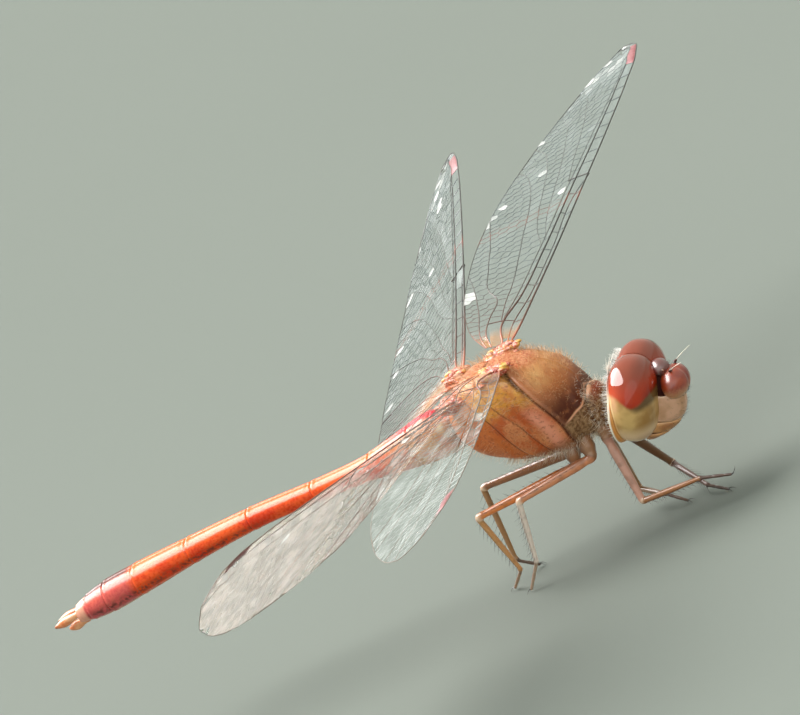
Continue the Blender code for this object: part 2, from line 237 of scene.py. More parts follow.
def shown(name, data):
    """A new object in the scene."""
    made = bpy.data.objects.new(name, data)
    bpy.context.scene.collection.objects.link(made)
    return made


def piece(name, points, faces, finish, slot, replaced=(), fields=None, patches=None, flat=False):
    """A mesh with its place in its points, riding on the body, with named fields on its points
    and, for a coat, a patch of the skin's own unwrap for each of its points."""
    faces = [list(face) for face in faces]
    if signed_volume(points, faces) < 0:
        faces = [face[::-1] for face in faces]
    mesh = bpy.data.meshes.new(name)
    mesh.from_pydata((points + BODY) * MM, [], faces)
    for field, values in (fields or {}).items():
        layer = mesh.attributes.new(field, "FLOAT", "POINT")
        layer.data.foreach_set("value", np.asarray(values, np.float32))
    if patches is not None:
        corners = np.zeros(len(mesh.loops), np.int32)
        mesh.loops.foreach_get("vertex_index", corners)
        unwrap = mesh.uv_layers.new(name="OFBake")
        unwrap.data.foreach_set("uv", patches[corners].astype(np.float32).ravel())
    mesh.materials.append(finish.material)
    if not flat:
        mesh.shade_smooth()
        mesh.set_sharp_from_angle(angle=SHARP_ANGLE)
    made = shown(name, mesh)
    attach(made, "root")
    if replaced:
        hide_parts(*replaced)
    return made


def tint(code):
    """A linear colour from the six digits of a paint code."""
    parts = [int(code[i : i + 2], 16) / 255 for i in (0, 2, 4)]
    return tuple(p / 12.92 if p <= 0.04045 else ((p + 0.055) / 1.055) ** 2.4 for p in parts)


class Value:
    """A material socket that takes part in sums: each operator adds the Math node for it."""

    def __init__(self, finish, socket):
        self.finish, self.socket = finish, socket

    def maths(self, operation, *sockets):
        return self.finish.node("Math", {"operation": operation}, sockets)

    def __add__(self, other):
        return self.maths("ADD", self, other)

    def __sub__(self, other):
        return self.maths("SUBTRACT", self, other)

    def __rsub__(self, other):
        return self.maths("SUBTRACT", other, self)

    def __mul__(self, other):
        return self.maths("MULTIPLY", self, other)

    def __abs__(self):
        return self.maths("ABSOLUTE", self)

    __radd__, __rmul__ = __add__, __mul__

    def hold(self):
        """The value kept between 0 and 1."""
        return self.finish.node("Clamp", {}, (self, 0.0, 1.0))

    def step(self, low, high):
        """0 below low and 1 above high, easing between them; low above high turns it round."""
        low, high, start, end = (low, high, 0.0, 1.0) if low < high else (high, low, 1.0, 0.0)
        return self.finish.node(
            "MapRange", {"interpolation_type": "SMOOTHSTEP"}, (self, low, high, start, end)
        )

    def bell(self, centre, width):
        """1 at the centre, falling to 0 a width away on either side."""
        return abs(self - centre).step(width, 0.0)


class Finish:
    """A node material round one Principled shader."""

    def __init__(self, name, **shine):
        self.material = bpy.data.materials.new(name)
        self.material.use_nodes = True
        self.tree = self.material.node_tree
        self.shader = self.tree.nodes["Principled BSDF"]
        for socket, number in shine.items():
            self.shader.inputs[socket.replace("_", " ")].default_value = number

    def node(self, kind, settings, sockets, output=0):
        """Any node: its settings first, then its sockets' values or links, by place or name."""
        made = self.tree.nodes.new("ShaderNode" + kind)
        for name, value in settings.items():
            setattr(made, name, value)
        for key, value in sockets.items() if isinstance(sockets, dict) else enumerate(sockets):
            if isinstance(value, Value):
                self.tree.links.new(value.socket, made.inputs[key])
            elif isinstance(value, tuple) and made.inputs[key].type == "RGBA":
                made.inputs[key].default_value = (*value, 1.0)
            else:
                made.inputs[key].default_value = value
        return Value(self, made.outputs[output])

    def feed(self, **sockets):
        for name, value in sockets.items():
            self.tree.links.new(value.socket, self.shader.inputs[name.replace("_", " ")])

    def place(self):
        """The point on the piece in body millimetres, and its three parts."""
        metres = self.node("TexCoord", {}, {}, "Object")
        point = self.node(
            "VectorMath", {"operation": "MULTIPLY_ADD"}, (metres, (1 / MM,) * 3, tuple(-BODY))
        )
        return (point, *(self.node("SeparateXYZ", {}, (point,), axis) for axis in "XYZ"))

    def field(self, name):
        return self.node("Attribute", {"attribute_name": name}, {}, "Fac")

    def noise(self, point, scale, detail=2.0, stretch=None):
        """Soft noise from 0 to 1, scale times a millimetre, drawn out along an axis at will."""
        if stretch:
            point = self.node("VectorMath", {"operation": "MULTIPLY"}, (point, stretch))
        return self.node("TexNoise", {}, {"Vector": point, "Scale": scale, "Detail": detail})

    def cells(self, point, scale):
        """How far each place is from the middle of its cell."""
        return self.node("TexVoronoi", {"feature": "F1"}, {"Vector": point, "Scale": scale}, "Distance")

    def mix(self, share, first, second):
        """From the first colour at 0 to the second at 1."""
        colours = (tint(c) if isinstance(c, str) else c for c in (first, second))
        return self.node("Mix", {"data_type": "RGBA"}, dict(zip((0, 6, 7), (share, *colours))), 2)

    def clouded(self, scale, first, second):
        """Two colours in soft clouds, scale times a millimetre."""
        return self.mix(self.noise(self.place()[0], scale), first, second)

    def over(self, base, *layers):
        """A base colour with layers over it, each a (share, colour)."""
        for share, colour in layers:
            base = self.mix(share, base, colour)
        return base

    def paint(self, base, *layers):
        """The piece's colour: a base with layers over it."""
        self.feed(Base_Color=self.over(base, *layers))

    def bump(self, height, distance, strength):
        """Small relief, its distance in millimetres."""
        sockets = {"Strength": strength, "Distance": distance * MM, "Height": height}
        self.feed(Normal=self.node("Bump", {}, sockets))


def cuticle():
    """The body's colours: brown, rust and ochre plates on the thorax with dark sutures, a pale line
    ahead of the first and a painted sheen high on the front; red rings, painted lighter orange on
    top as painted light, with pale joints, tan flanks at the base, dark marks low on the last rings
    and a pale belly."""
    skin = Finish("body_cuticle", Specular_IOR_Level=0.25, Coat_Roughness=0.16, Coat_IOR=1.5)
    point, x, y, z = skin.place()
    side = abs(y)
    groove, ahead, behind, low = (skin.field(name) for name in ("groove", "ahead", "behind", "low"))
    mottle, fine = skin.noise(point, 1.1, 4.0), skin.noise(point, 7.0, 4.0)
    spot, grain = skin.noise(point, 3.0, 3.0), skin.noise(point, 28.0, 3.0)
    speckled = fine.step(0.35, 0.65)
    # Thorax plates, from the front backwards.
    front = skin.over(
        skin.mix((z + mottle * 1.2).step(-0.1, 1.3), "54220e", "b46a38"),
        # Painted sheen: a pale tan patch high on the front plate.
        (ahead.bell(0.75, 0.6) * (z + mottle * 0.6).bell(1.35, 0.8) * 0.8, "cc9c64"),
        (spot.step(0.5, 0.7) * 0.5, "b0683c"),
    )
    flank = skin.over(
        skin.mix((mottle * 0.6 + fine * 0.4).step(0.4, 0.6), "bc5626", "d88a58"),
        (z.step(0.0, 0.7) * (spot * 0.4 + mottle * 0.6).step(0.3, 0.6), "dca03c"),
        (ahead.bell(-0.5, 0.55) * z.step(0.5, -0.5), "ec9a7c"),
        (behind.step(-0.1, 0.3) * 0.8, "c8682c"),
        (z.step(-1.6, -2.2) * x.step(-0.5, -1.5) * 0.8, "d8782c"),
        ((spot * 0.6 + mottle * 0.4).step(0.5, 0.66) * z.step(-1.2, 0.2) * 0.5, "8c3212"),
        (fine.step(0.52, 0.66) * 0.5, "8c3416"),
    )
    shelf = side * 0.41 + z  # a ridge slants down each side of the front, over the fore legs
    collar = (shelf.step(-0.56, -0.66) * x.step(0.75, 1.1) + x.step(1.9, 2.0)).hold()
    chest = skin.over(
        skin.mix(ahead.step(-0.03, 0.03), flank, front),
        (ahead.bell(0.16, 0.14) * (z.step(-0.5, 0.8) * 0.4 + fine * 0.4), "d09070"),
        (ahead.bell(-0.05, 0.16) * z.step(0.3, 1.3) * 0.9, "3a160a"),
        (z.step(-1.75, -2.3) * 0.7, "8a6244"),
        (z.step(1.25, 1.7) * side.step(1.15, 0.6) * 0.8, skin.mix(speckled, "b0522c", "dc9a74")),
        (collar, skin.mix(speckled, "6a4428", "a07c58")),
        (shelf.bell(-0.57, 0.09) * x.step(0.95, 1.3), "e8ac88"),
        (x.bell(2.45, 0.3) * z.step(-1.4, -0.8), skin.mix(fine, "7c2a12", "ac5028")),
    )
    # Abdomen: red rings, painted lighter orange on top as painted light, on tan and rose flanks near the
    # base.
    base, keel = x.step(-8.6, -6.2), side.step(0.6, 0.2) * z.step(0.3, 0.6)
    tail = x.step(-21.2, -21.8)
    marks = low.bell(0.6, 0.16) * x.step(-13.5, -16.0) * x.step(-24.6, -24.0)
    rings = skin.over(
        skin.mix((mottle * 0.5 + fine * 0.5).step(0.35, 0.65), "d83408", "f45c1a"),
        # Painted light: lighter orange over the top of the rings.
        (low.step(0.4, 0.1) * 0.6, "f87824"),
        (base * (1 - keel) * low.step(0.08, 0.3), skin.mix(mottle.step(0.35, 0.62), "d07a58", "cf9050")),
        (base * keel, "dc2034"),
        (x.bell(-4.7, 0.3) * (z + x * 0.25).bell(-0.55, 0.4) * 0.9, "f4dcb4"),
        (x.step(-4.75, -4.45) * 0.7, "a05a36"),
        (tail * (0.35 + low * 0.4), "b8606c"),
        (tail * low.step(0.16, 0.06) * x.step(-24.3, -24.0) * 0.85, "2a0c0c"),
        (marks * fine.step(0.35, 0.6) * 0.85, "4a120c"),
        (x.step(-24.1, -24.3) * 0.6, "e8b898"),
        (low.step(0.74, 0.9), skin.mix(x.step(-20.5, -21.5), "c98a5c", "ecd0a8")),
    )
    joints = skin.mix(x.step(-4.4, -4.8), "4a1e0e", "8a1c0c")
    skin.paint(
        skin.mix(x.step(-4.15, -4.3), chest, rings),
        (groove.step(0.25, 0.9) * 0.6, joints),
        (grain.step(0.6, 0.8) * 0.12, "f0c8a0"),
    )
    hind = x.step(-4.6, -5.5)
    skin.feed(Roughness=hind * -0.1 + fine * 0.16 + 0.3, Coat_Weight=hind * 0.12 + 0.08)
    rings_fine = skin.noise(point, 9.0, 2.0, (4.0, 1.0, 1.0))
    skin.bump((grain * 0.5 + fine * 0.8) * (1.0 - hind * 0.85) + rings_fine * 0.15, 0.014, 0.55)
    return skin


def body_skin():
    """Rings of the body from the tail's end to the neck, closer than the grooves are wide."""
    around, x = 120, np.linspace(PROFILE[0][0], PROFILE[0][-1], 640)
    angle = np.linspace(-math.pi / 2, 1.5 * math.pi, around, endpoint=False)
    along, turned = (table.ravel() for table in grid(x, angle))
    points, groove = body_point(along, turned, with_groove=True)
    side, height = np.abs(points[:, 1]), points[:, 2]
    fields = dict(
        groove=groove,
        ahead=np.where(side < 0.5, 1.0, points[:, 0] - smooth(height, *HUMERAL)),
        behind=smooth(height, *REAR_SUTURE) - points[:, 0],
        low=np.abs(np.angle(np.exp(1j * (turned - math.pi / 2)))) / math.pi,
    )
    nodes = ["thorax", "prothorax", "neck", *(f"abdomen_{n:02d}" for n in range(1, 11))]
    piece("body_skin", points, capped(len(x), around), cuticle(), "thorax_brown", nodes, fields)


body_skin()

# ------------------------------------------------------------
# Head. The real one is mostly two great compound eyes that meet on top, set in a thin capsule
# whose pale rim shows behind them. Below sit the bulging frons, the clypeus, the upper lip and
# the lower lip: smooth plates with soft seams between them.
# ------------------------------------------------------------
HEAD_CENTRE, HEAD_PITCH = np.array((4.0, 0.0, -1.95)), math.radians(25.0)
EYE_CENTRE, EYE_HALF = np.array((-0.05, 0.8, 0.08)), np.array((1.17, 1.8, 1.93))
EYE_INNER = 2.2  # half width towards the middle, where the eyes are flatter
EYE_CUT = 0.02  # where each eye stops short of the middle
EYE_SQUARE = 0.86  # the power of its section, where 1 is an ellipse
MARGIN = (-0.675, -0.13)  # the rear margin of the eyes: where it is at height 0, and its slope
FACE_BACK = 0.3
FACE_Z = (-2.1, -1.75, -1.2, -0.55, -0.2, 0.3, 0.8, 1.15)
FACE_FRONT = (0.7, 1.35, 1.9, 2.12, 2.14, 2.2, 2.0, 1.5)
FACE_HALF = (0.75, 1.0, 1.12, 1.12, 1.12, 1.12, 0.95, 0.65)
FACE_INSET = 0.03
FRONS_CENTRE, FRONS_HALF, FRONS_BACK = (1.67, 0.51), (0.65, 0.73), 1.1  # forwards and up
CORE_FORWARD, CORE_HALF = 0.95, (0.84, 0.96, 1.1)
VERTEX, VERTEX_HALF = (1.04, 0.0, 1.13), (0.46, 0.5, 0.44)
OCELLI, OCELLUS_RADIUS = ((1.47, 0.0, 1.12), (1.3, 0.38, 1.22), (1.3, -0.38, 1.22)), 0.07


def on_head(local):
    """A point in the head's own axes, turned nose down by its pitch and put at its centre."""
    c, s = math.cos(HEAD_PITCH), math.sin(HEAD_PITCH)
    x, y, z = np.moveaxis(np.asarray(local, float), -1, 0)
    return np.stack([x * c + z * s, y, z * c - x * s], -1) + HEAD_CENTRE


def head_piece(name, local, finish, slot, replaced=(), **fields):
    """A closed piece of the head, from a table of its rings of points in the head's own axes."""
    faces = capped(*local.shape[:2])
    piece(name, on_head(local.reshape(-1, 3)), faces, finish, slot, replaced, fields)


def head_place(finish):
    """The head's own axes for a material: the point, and its three parts."""
    point, x, y, z = finish.place()
    c, s = math.cos(HEAD_PITCH), math.sin(HEAD_PITCH)
    x, z = x - HEAD_CENTRE[0], z - HEAD_CENTRE[2]
    return point, x * c - z * s, y, x * s + z * c


def margin(z):
    """How far forward the rear margin of the eyes lies at a height on the head."""
    return MARGIN[0] + MARGIN[1] * z


def eye_finish():
    """Glossy facets under a clear coat: red brown above, turning purplish at the top as a painted
    reflection of the sky and dark along the front edge as painted shade; then a dark olive band
    of painted shade that widens forwards, then olive and tan below. The border dips in the
    middle of the eye. A cream line runs down the rear margin."""
    coat = dict(Coat_Weight=1.0, Coat_Roughness=0.03, Coat_IOR=1.5)
    eye = Finish("eye_facets", Roughness=0.5, Specular_IOR_Level=0.0, **coat)
    point, x, _, z = head_place(eye)
    cloud, fine = eye.noise(point, 0.9, 3.0), eye.noise(point, 3.5, 3.0)
    border = z + x.step(-0.6, 0.32) * 0.45 - x.step(0.35, 1.05) * 0.32 + cloud * 0.14 + fine * 0.08 - 0.95
    above = eye.over(
        # Painted reflection of the sky: the top turns from red to purplish brown.
        eye.mix(z.step(0.75, 1.85), "b83410", "8e4634"),
        # Painted shade along the front edge, next to the frons.
        (x.step(0.5, 1.05) * z.step(1.3, 0.4), "4a1406"),
        (x.step(0.1, -0.5) * z.step(1.4, 0.8) * 0.6, "c85c40"),
        (border.bell(0.1, 0.2) * x.bell(0.25, 0.45) * 0.5, "a4200c"),
    )
    # The dark olive band below the border is painted shade; it widens forwards.
    depth = (x.step(-0.1, 1.0) * 0.5 + 0.02) * -1.0
    shade = (border - depth).step(-0.12, 0.25) * x.step(-0.3, 0.3)
    below = eye.over(
        eye.mix(cloud.step(0.35, 0.65), "b08448", "d8b070"),
        (x.step(0.2, 0.8) * z.bell(-0.35, 0.8) * 0.35, "946840"),
        (x.step(-0.2, -0.55) * z.step(-0.1, 0.5) * 0.8, "d8a078"),
        (z.step(-0.45, -1.2) * 0.9, "f0cca4"),
        (z.step(-0.9, -1.4) * x.step(0.1, 0.5) * 0.4, "d49c7c"),
        (shade * 0.85, "44260c"),
    )
    rear = x - (z * MARGIN[1] + MARGIN[0])
    eye.paint(
        eye.mix(border.step(-0.1, 0.12), below, above),
        (rear.step(0.15, 0.06) * z.step(0.95, 0.6), "f0cb94"),
        (rear.step(0.03, 0.0) * z.step(0.6, 0.95) * 0.6, "4a1c10"),
    )
    eye.bump(eye.cells(point, 26.0), 0.003, 0.25)
    return eye


def eye(name, sign, finish):
    """Rings round an axis to the side, from the cut at the middle to the outer pole. Each is a
    circle of the stretched sphere, a little squarer by |cos|^a, |sin|^a, and what lies behind
    the rear margin is pressed flat to it."""
    rows, around, pole = 96, 200, 0.012
    start = -math.asin((EYE_CENTRE[1] - EYE_CUT) / EYE_INNER)
    side = np.sin(np.linspace(start, math.pi / 2 - pole, rows))
    v, t = grid(side, turns(around))
    ring = np.sqrt(1 - v**2)
    half = EYE_HALF - SKIN_INSET
    c, s = (np.sign(w) * np.abs(w) ** EYE_SQUARE for w in (np.cos(t), np.sin(t)))
    reach = np.where(v < 0, EYE_INNER, half[1]) * v
    local = np.stack([half[0] * ring * c, reach, half[2] * ring * s], -1) + EYE_CENTRE
    local[..., 0] = np.maximum(local[..., 0], margin(local[..., 2]))
    head_piece(name, local * (1, sign, 1), finish, "eye_red", [name])


facets = eye_finish()
eye("eye_left", 1, facets)
eye("eye_right", -1, facets)


def rim(turn):
    """Where the eyes' outline runs round the rear margin: how far it reaches from the point
    (y 0, z of the eyes), and how far forward. It is the farther crossing of a ray with an
    ellipse whose centre is off to its side, found three times over because the margin leans."""
    z = EYE_CENTRE[2] + np.sin(turn)
    for _ in range(3):
        x = margin(z)
        share = np.sqrt(1 - ((x - EYE_CENTRE[0]) / EYE_HALF[0]) ** 2)
        b, c = EYE_HALF[1] * share, EYE_HALF[2] * share
        a = (np.cos(turn) / b) ** 2 + (np.sin(turn) / c) ** 2
        half = np.abs(np.cos(turn)) * EYE_CENTRE[1] / b**2
        reach = (half + np.sqrt(np.maximum(half**2 - a * ((EYE_CENTRE[1] / b) ** 2 - 1), 0))) / a
        z = EYE_CENTRE[2] + reach * np.sin(turn)
    return reach, x


def head_finish():
    """A brown capsule; behind the eyes runs a band, orange at its edges and cream between."""
    skin = Finish("head_capsule", Roughness=0.42, Coat_Weight=0.2)
    point, _, _, z = head_place(skin)
    speck, back = skin.noise(point, 5.0, 3.0), skin.field("back")
    cream = skin.mix(back.step(0.07, 0.1), "e09448", "f8ecd8")
    skin.paint(
        skin.mix(back.step(0.02, 0.05), "e8a860", cream),
        (z.step(0.5, 1.1), "8e4a2c"),
        (back.step(0.2, 0.24), skin.mix(speck.step(0.4, 0.6), "5a3826", "8a6044")),
    )
    skin.bump(speck, 0.02, 0.5)
    return skin


def head_skin():
    """Rings across the head's axis from the face back to the neck: inside the eyes as far as
    their margin, then a narrow rim, and a dished rear that narrows to the neck."""
    turn = turns(180)
    # Each ring: how far ahead of the margin, share of the eyes' outline, extra reach.
    rings = (
        (1.5, 0.2, 0), (1.3, 0.45, 0), (0.8, 0.7, 0), (0.15, 0.9, 0), (0.01, 0.97, 0), (-0.01, 1.0, 0.02),
        (-0.05, 1.0, 0.06), (-0.1, 1.0, 0.08), (-0.16, 1.0, 0.06), (-0.19, 0.97, 0), (-0.14, 0.9, 0),
        (-0.07, 0.78, 0), (-0.08, 0.6, 0), (-0.2, 0.42, 0), (-0.45, 0.28, 0), (-0.6, 0.19, 0),
    )
    place, fine = np.linspace(0, 1, len(rings)), np.linspace(0, 1, 100)
    ahead, share, extra = (smooth(fine, place, column)[:, None] for column in zip(*rings))
    outline, forward = rim(turn)
    # The rim is widest behind the cheeks, low on each side. Above, the eyes hide it.
    low = np.abs(np.angle(np.exp(1j * (turn + math.pi / 2))))
    cheek = hump(low - 0.95, 0.55)
    above = 1 - ease(-np.sin(turn), -0.3, 0.2)
    reach = share * outline * (1 - 0.12 * above * ease(-ahead, 0.0, 0.05))
    reach += extra * (1 + 1.2 * cheek) * (1 - above) - 0.03 * above
    depth = forward + ahead - 0.07 * cheek * ease(-ahead, 0.02, 0.12)
    local = np.stack([depth + 0 * reach, reach * np.cos(turn), EYE_CENTRE[2] + reach * np.sin(turn)], -1)
    # How far back from the margin, and a fixed value past the rim, where the dish turns forward.
    back = np.repeat(np.where(fine > 0.62, 0.3, -ahead[:, 0]), len(turn))
    head_piece("head_skin", local, head_finish(), "thorax_brown", ["head"], back=back)


head_skin()


def face_finish(name, base, deep, pale, clouded=False):
    """Smooth cuticle, clouded from its own colour to a deeper one. Its lower edge is pale: in
    clouds, or else in a line with a brown seam below."""
    coat = dict(Coat_Weight=0.9, Coat_Roughness=0.28, Coat_IOR=1.8)
    plate = Finish(name, Roughness=0.5, Specular_IOR_Level=0.2, **coat)
    point = plate.place()[0]
    cloud, fine = plate.noise(point, 1.6, 3.0), plate.noise(point, 12.0, 3.0)
    edge = plate.field("edge")
    line = (edge.step(0.55, 0.95) * 0.5, pale), (edge.step(0.93, 1.0) * 0.5, "6a3c24")
    clouds = (((edge + cloud * 0.4 - fine * 0.3).step(0.45, 0.9), pale),)
    plate.paint(plate.mix(cloud.step(0.35, 0.68), base, deep), *(clouds if clouded else line))
    plate.bump(fine, 0.012, 0.5)
    return plate


def face_plate(name, low, high, finish, swell, notch, lift):
    """A plate between two levels: a flat back and a round front, rolled in towards its upper
    and lower edge by sqrt(1 - v^4) times its swell, so that a soft seam shows between
    neighbours. A notch parts its middle, and its levels rise to the sides by the lift."""
    rows, around, quarter = 44, 80, math.pi / 2
    v, t = grid(np.sin(np.linspace(-quarter, quarter, rows)), np.linspace(-quarter, quarter, around))
    z = (low + high) / 2 + (high - low) / 2 * v
    pillow = np.sqrt(1 - v**4)
    front = smooth(z, FACE_Z, FACE_FRONT) - FACE_INSET - swell * (1 - pillow)
    front -= notch * hump(t, 0.09) * pillow
    half = smooth(z, FACE_Z, FACE_HALF) - FACE_INSET - 0.6 * swell * (1 - pillow)
    x = FACE_BACK + (front - FACE_BACK) * np.cos(t)
    local = np.stack([x, half * np.sin(t), z + lift * (1 - np.cos(t))], -1)
    head_piece(name, local, finish, "face_tan", [name], edge=np.abs(v).ravel() ** 2)


def ball(rows, around, pole):
    """The unit sphere in rings round its first axis, which stop an angle short of the poles:
    cos p, sin p cos t, sin p sin t."""
    p, t = grid(np.linspace(pole, math.pi - pole, rows), turns(around))
    return np.cos(p), np.sin(p) * np.cos(t), np.sin(p) * np.sin(t)


def frons(finish):
    """A ball flattened behind, with a shallow furrow down its middle."""
    side, x, z = ball(60, 90, 0.02)
    dent = 1 - 0.07 * hump(side, 0.12) * ease(x + 0.6 * z, 0.0, 0.8)
    edge = (0.5 - 0.5 * z).ravel()
    x, z = (c + h * part * dent for c, h, part in zip(FRONS_CENTRE, FRONS_HALF, (x, z)))
    local = np.stack([np.maximum(x, FRONS_BACK), side, z], -1)
    head_piece("frons", local, finish, "face_red", ["frons"], edge=edge)


def two_toned(finish, low, high, under, top):
    """Paints one colour below a level of the head and another above it, the border clouded."""
    point, _, _, z = head_place(finish)
    finish.paint(finish.mix((z + finish.noise(point, 3.0) * 0.3).step(low, high), under, top))


def face_core():
    """The folds behind the face plates: a ball that closes the gap beside them, tan below and
    painted near black above as the shade in that gap.
    """
    core = Finish("face_core", Roughness=0.8, Specular_IOR_Level=0.1)
    # Painted shade: near black above, where the gap beside the face plates lies in shade; tan below.
    two_toned(core, 0.1, 0.4, "a06c4c", "30100a")
    side, x, z = ball(40, 60, 0.03)
    local = np.stack([x, side, z], -1) * CORE_HALF + (CORE_FORWARD, 0, 0)
    head_piece("face_core", local, core, "face_red")


face_core()
red_face = face_finish("frons_cuticle", "a83c0c", "841804", "cc9468", clouded=True)
pale_face = face_finish("clypeus_cuticle", "dca888", "c08c64", "f0d0b0")
tan_face = face_finish("lip_cuticle", "d89c60", "b07040", "e0b888")
frons(red_face)
face_plate("clypeus", -1.2, 0.08, pale_face, swell=0.16, notch=0.0, lift=0.3)
face_plate("labrum", -1.72, -1.18, tan_face, swell=0.16, notch=0.04, lift=0.22)
face_plate("labium", -2.1, -1.7, tan_face, swell=0.2, notch=0.05, lift=0.1)


def repeated(faces, times, points_each):
    """The faces of one small closed shape, repeated for each copy of it."""
    return [[corner + k * points_each for corner in face] for k in range(times) for face in faces]


def blobs(centres, halves, rows=14, around=18):
    """Stretched spheres joined in one mesh: points centre + half * (unit sphere), and faces."""
    sphere = np.stack(ball(rows, around, 0.04), -1).reshape(-1, 3)
    points = np.asarray(centres)[:, None] + np.asarray(halves)[:, None] * sphere
    return points.reshape(-1, 3), repeated(capped(rows, around), len(points), len(sphere))


# The vertex is a small red swelling between the eyes and the frons, its lower half painted near
# black as shade; it carries three ocelli, the simple eyes, like beads of clear amber.
knob = Finish("vertex_cuticle", Roughness=0.4, Coat_Weight=1.0, Coat_Roughness=0.3, Coat_IOR=2.0)
# Painted shade: near black below, red above.
two_toned(knob, 1.1, 1.4, "1c0804", "6c1608")
points, faces = blobs([VERTEX], [VERTEX_HALF], 30, 40)
piece("vertex", on_head(points), faces, knob, "face_red")
bead = Finish("ocellus", Roughness=0.08, Coat_Weight=1.0, Coat_Roughness=0.02)
bead.paint(bead.clouded(8.0, "5a2c18", "a8683c"))
points, faces = blobs(OCELLI, np.full((3, 3), OCELLUS_RADIUS))
piece("ocelli", on_head(points), faces, bead, "eye_red")

# ------------------------------------------------------------
# Antennae. Each is a short bristle: two thick joints at its foot, then a thread of four joints
# that thins to a point. They are stiff and point forwards and up.
# ------------------------------------------------------------
ANTENNA_ROOT, ANTENNA_LEAN, ANTENNA_LENGTH = (1.62, 0.42, 1.2), (0.55, 0.45, 0.7), 0.98
ANTENNA_STEPS, ANTENNA_SIDES = 60, 12


def rings_round(way, across, sides):
    """Unit circles square to each direction, cos * side + sin * other: side squares with the
    direction and with across, and other squares with both."""
    side = unit(np.cross(way, across))
    t = turns(sides)[:, None]
    return np.cos(t) * side[:, None] + np.sin(t) * np.cross(way, side)[:, None]


def sweep(path, radii, across, around):
    """A tube along a path, one ring to each point of it."""
    ring = rings_round(unit(np.gradient(path, axis=0)), across, around)
    return (path[:, None] + radii[:, None, None] * ring).reshape(-1, 3)


horn = Finish("antenna_cuticle", Roughness=0.4)
horn.paint(horn.mix(horn.field("thread").step(0.12, 0.3), "4a1c10", "efe4d4"))
s = np.linspace(0, 1, ANTENNA_STEPS)
radii = 0.05 * (1 - ease(s, 0.12, 0.2)) + 0.014 * (1 - s) + 0.01 - 0.02 * hump(s - 0.1, 0.015)
bristle = np.array(ANTENNA_ROOT) + unit(np.array(ANTENNA_LEAN)) * s[:, None] * ANTENNA_LENGTH
bristle += np.outer(s**2 * 0.12, (1, 0, -0.6))
for name, sign in (("antenna_left", 1), ("antenna_right", -1)):
    points = sweep(on_head(bristle * (1, sign, 1)), radii, (0.3, 0.9, 0.2), ANTENNA_SIDES)
    faces, thread = capped(ANTENNA_STEPS, ANTENNA_SIDES), np.repeat(s, ANTENNA_SIDES)
    piece(name, points, faces, horn, "leg_tan", [name], dict(thread=thread))

# ------------------------------------------------------------
# Wings. Each real wing is a clear, pleated film a few thousandths of a millimetre thick, held
# by a net of veins: stout ones along the front edge, and fine cross veins that part the film
# into hundreds of cells. A red-walled cell near the tip, the pterostigma, is thick and opaque.
# ------------------------------------------------------------
FORE = dict(
    span=24.8, places=(0.0, 0.04, 0.15, 0.3, 0.5, 0.68, 0.82, 0.92, 0.975, 1.0),
    lead=(0.0, 0.1, 0.2, 0.3, 0.35, 0.4, 0.35, 0.1, -0.55, -1.5),
    trail=(-1.2, -2.0, -3.3, -4.3, -5.1, -5.2, -4.7, -3.8, -2.8, -1.7),
    stigma=(0.885, 0.965), hinge_reach=0.8, hinge_spread=1.4,
)
HIND = dict(
    span=22.6, places=(0.0, 0.04, 0.13, 0.28, 0.48, 0.68, 0.82, 0.92, 0.975, 1.0),
    lead=(0.0, 0.1, 0.2, 0.3, 0.35, 0.35, 0.25, -0.05, -0.7, -1.6),
    trail=(-1.6, -4.2, -6.5, -6.9, -6.5, -5.8, -5.0, -3.9, -2.9, -1.8),
    stigma=(0.85, 0.935), hinge_reach=0.75, hinge_spread=1.0,
)
# Name, side, outline, root, then degrees: swept back, raised, and the pitch at root and tip.
WINGS = (
    ("wing_fore_left", 1, FORE, (-0.64, 1.3, 2.1), 4.5, 6.3, (-12.0, 15.5)),
    ("wing_fore_right", -1, FORE, (-0.5, 1.3, 2.05), 13.8, 7.1, (-14.0, 22.0)),
    ("wing_hind_left", 1, HIND, (-3.2, 1.3, 1.95), -12.6, 7.4, (24.5, 39.5)),
    ("wing_hind_right", -1, HIND, (-3.1, 1.3, 1.6), -9.1, 11.5, (28.0, 41.0)),
)
# Long veins: radius at the foot, height in the pleats, and for one that starts further out
# the vein that it leaves.
VEINS = dict(
    costa=(0.06, 0.0, None), subcosta=(0.035, -0.07, "costa"), radius=(0.055, 0.07, None),
    sector=(0.028, -0.05, "cubitus"), second=(0.022, 0.03, "sector"), brace=(0.022, -0.03, "sector"),
    third=(0.022, 0.03, "sector"), media=(0.028, -0.03, "cubitus"), cubitus=(0.032, 0.03, None),
    anal=(0.03, -0.02, None), loop=(0.025, 0.02, None),
)
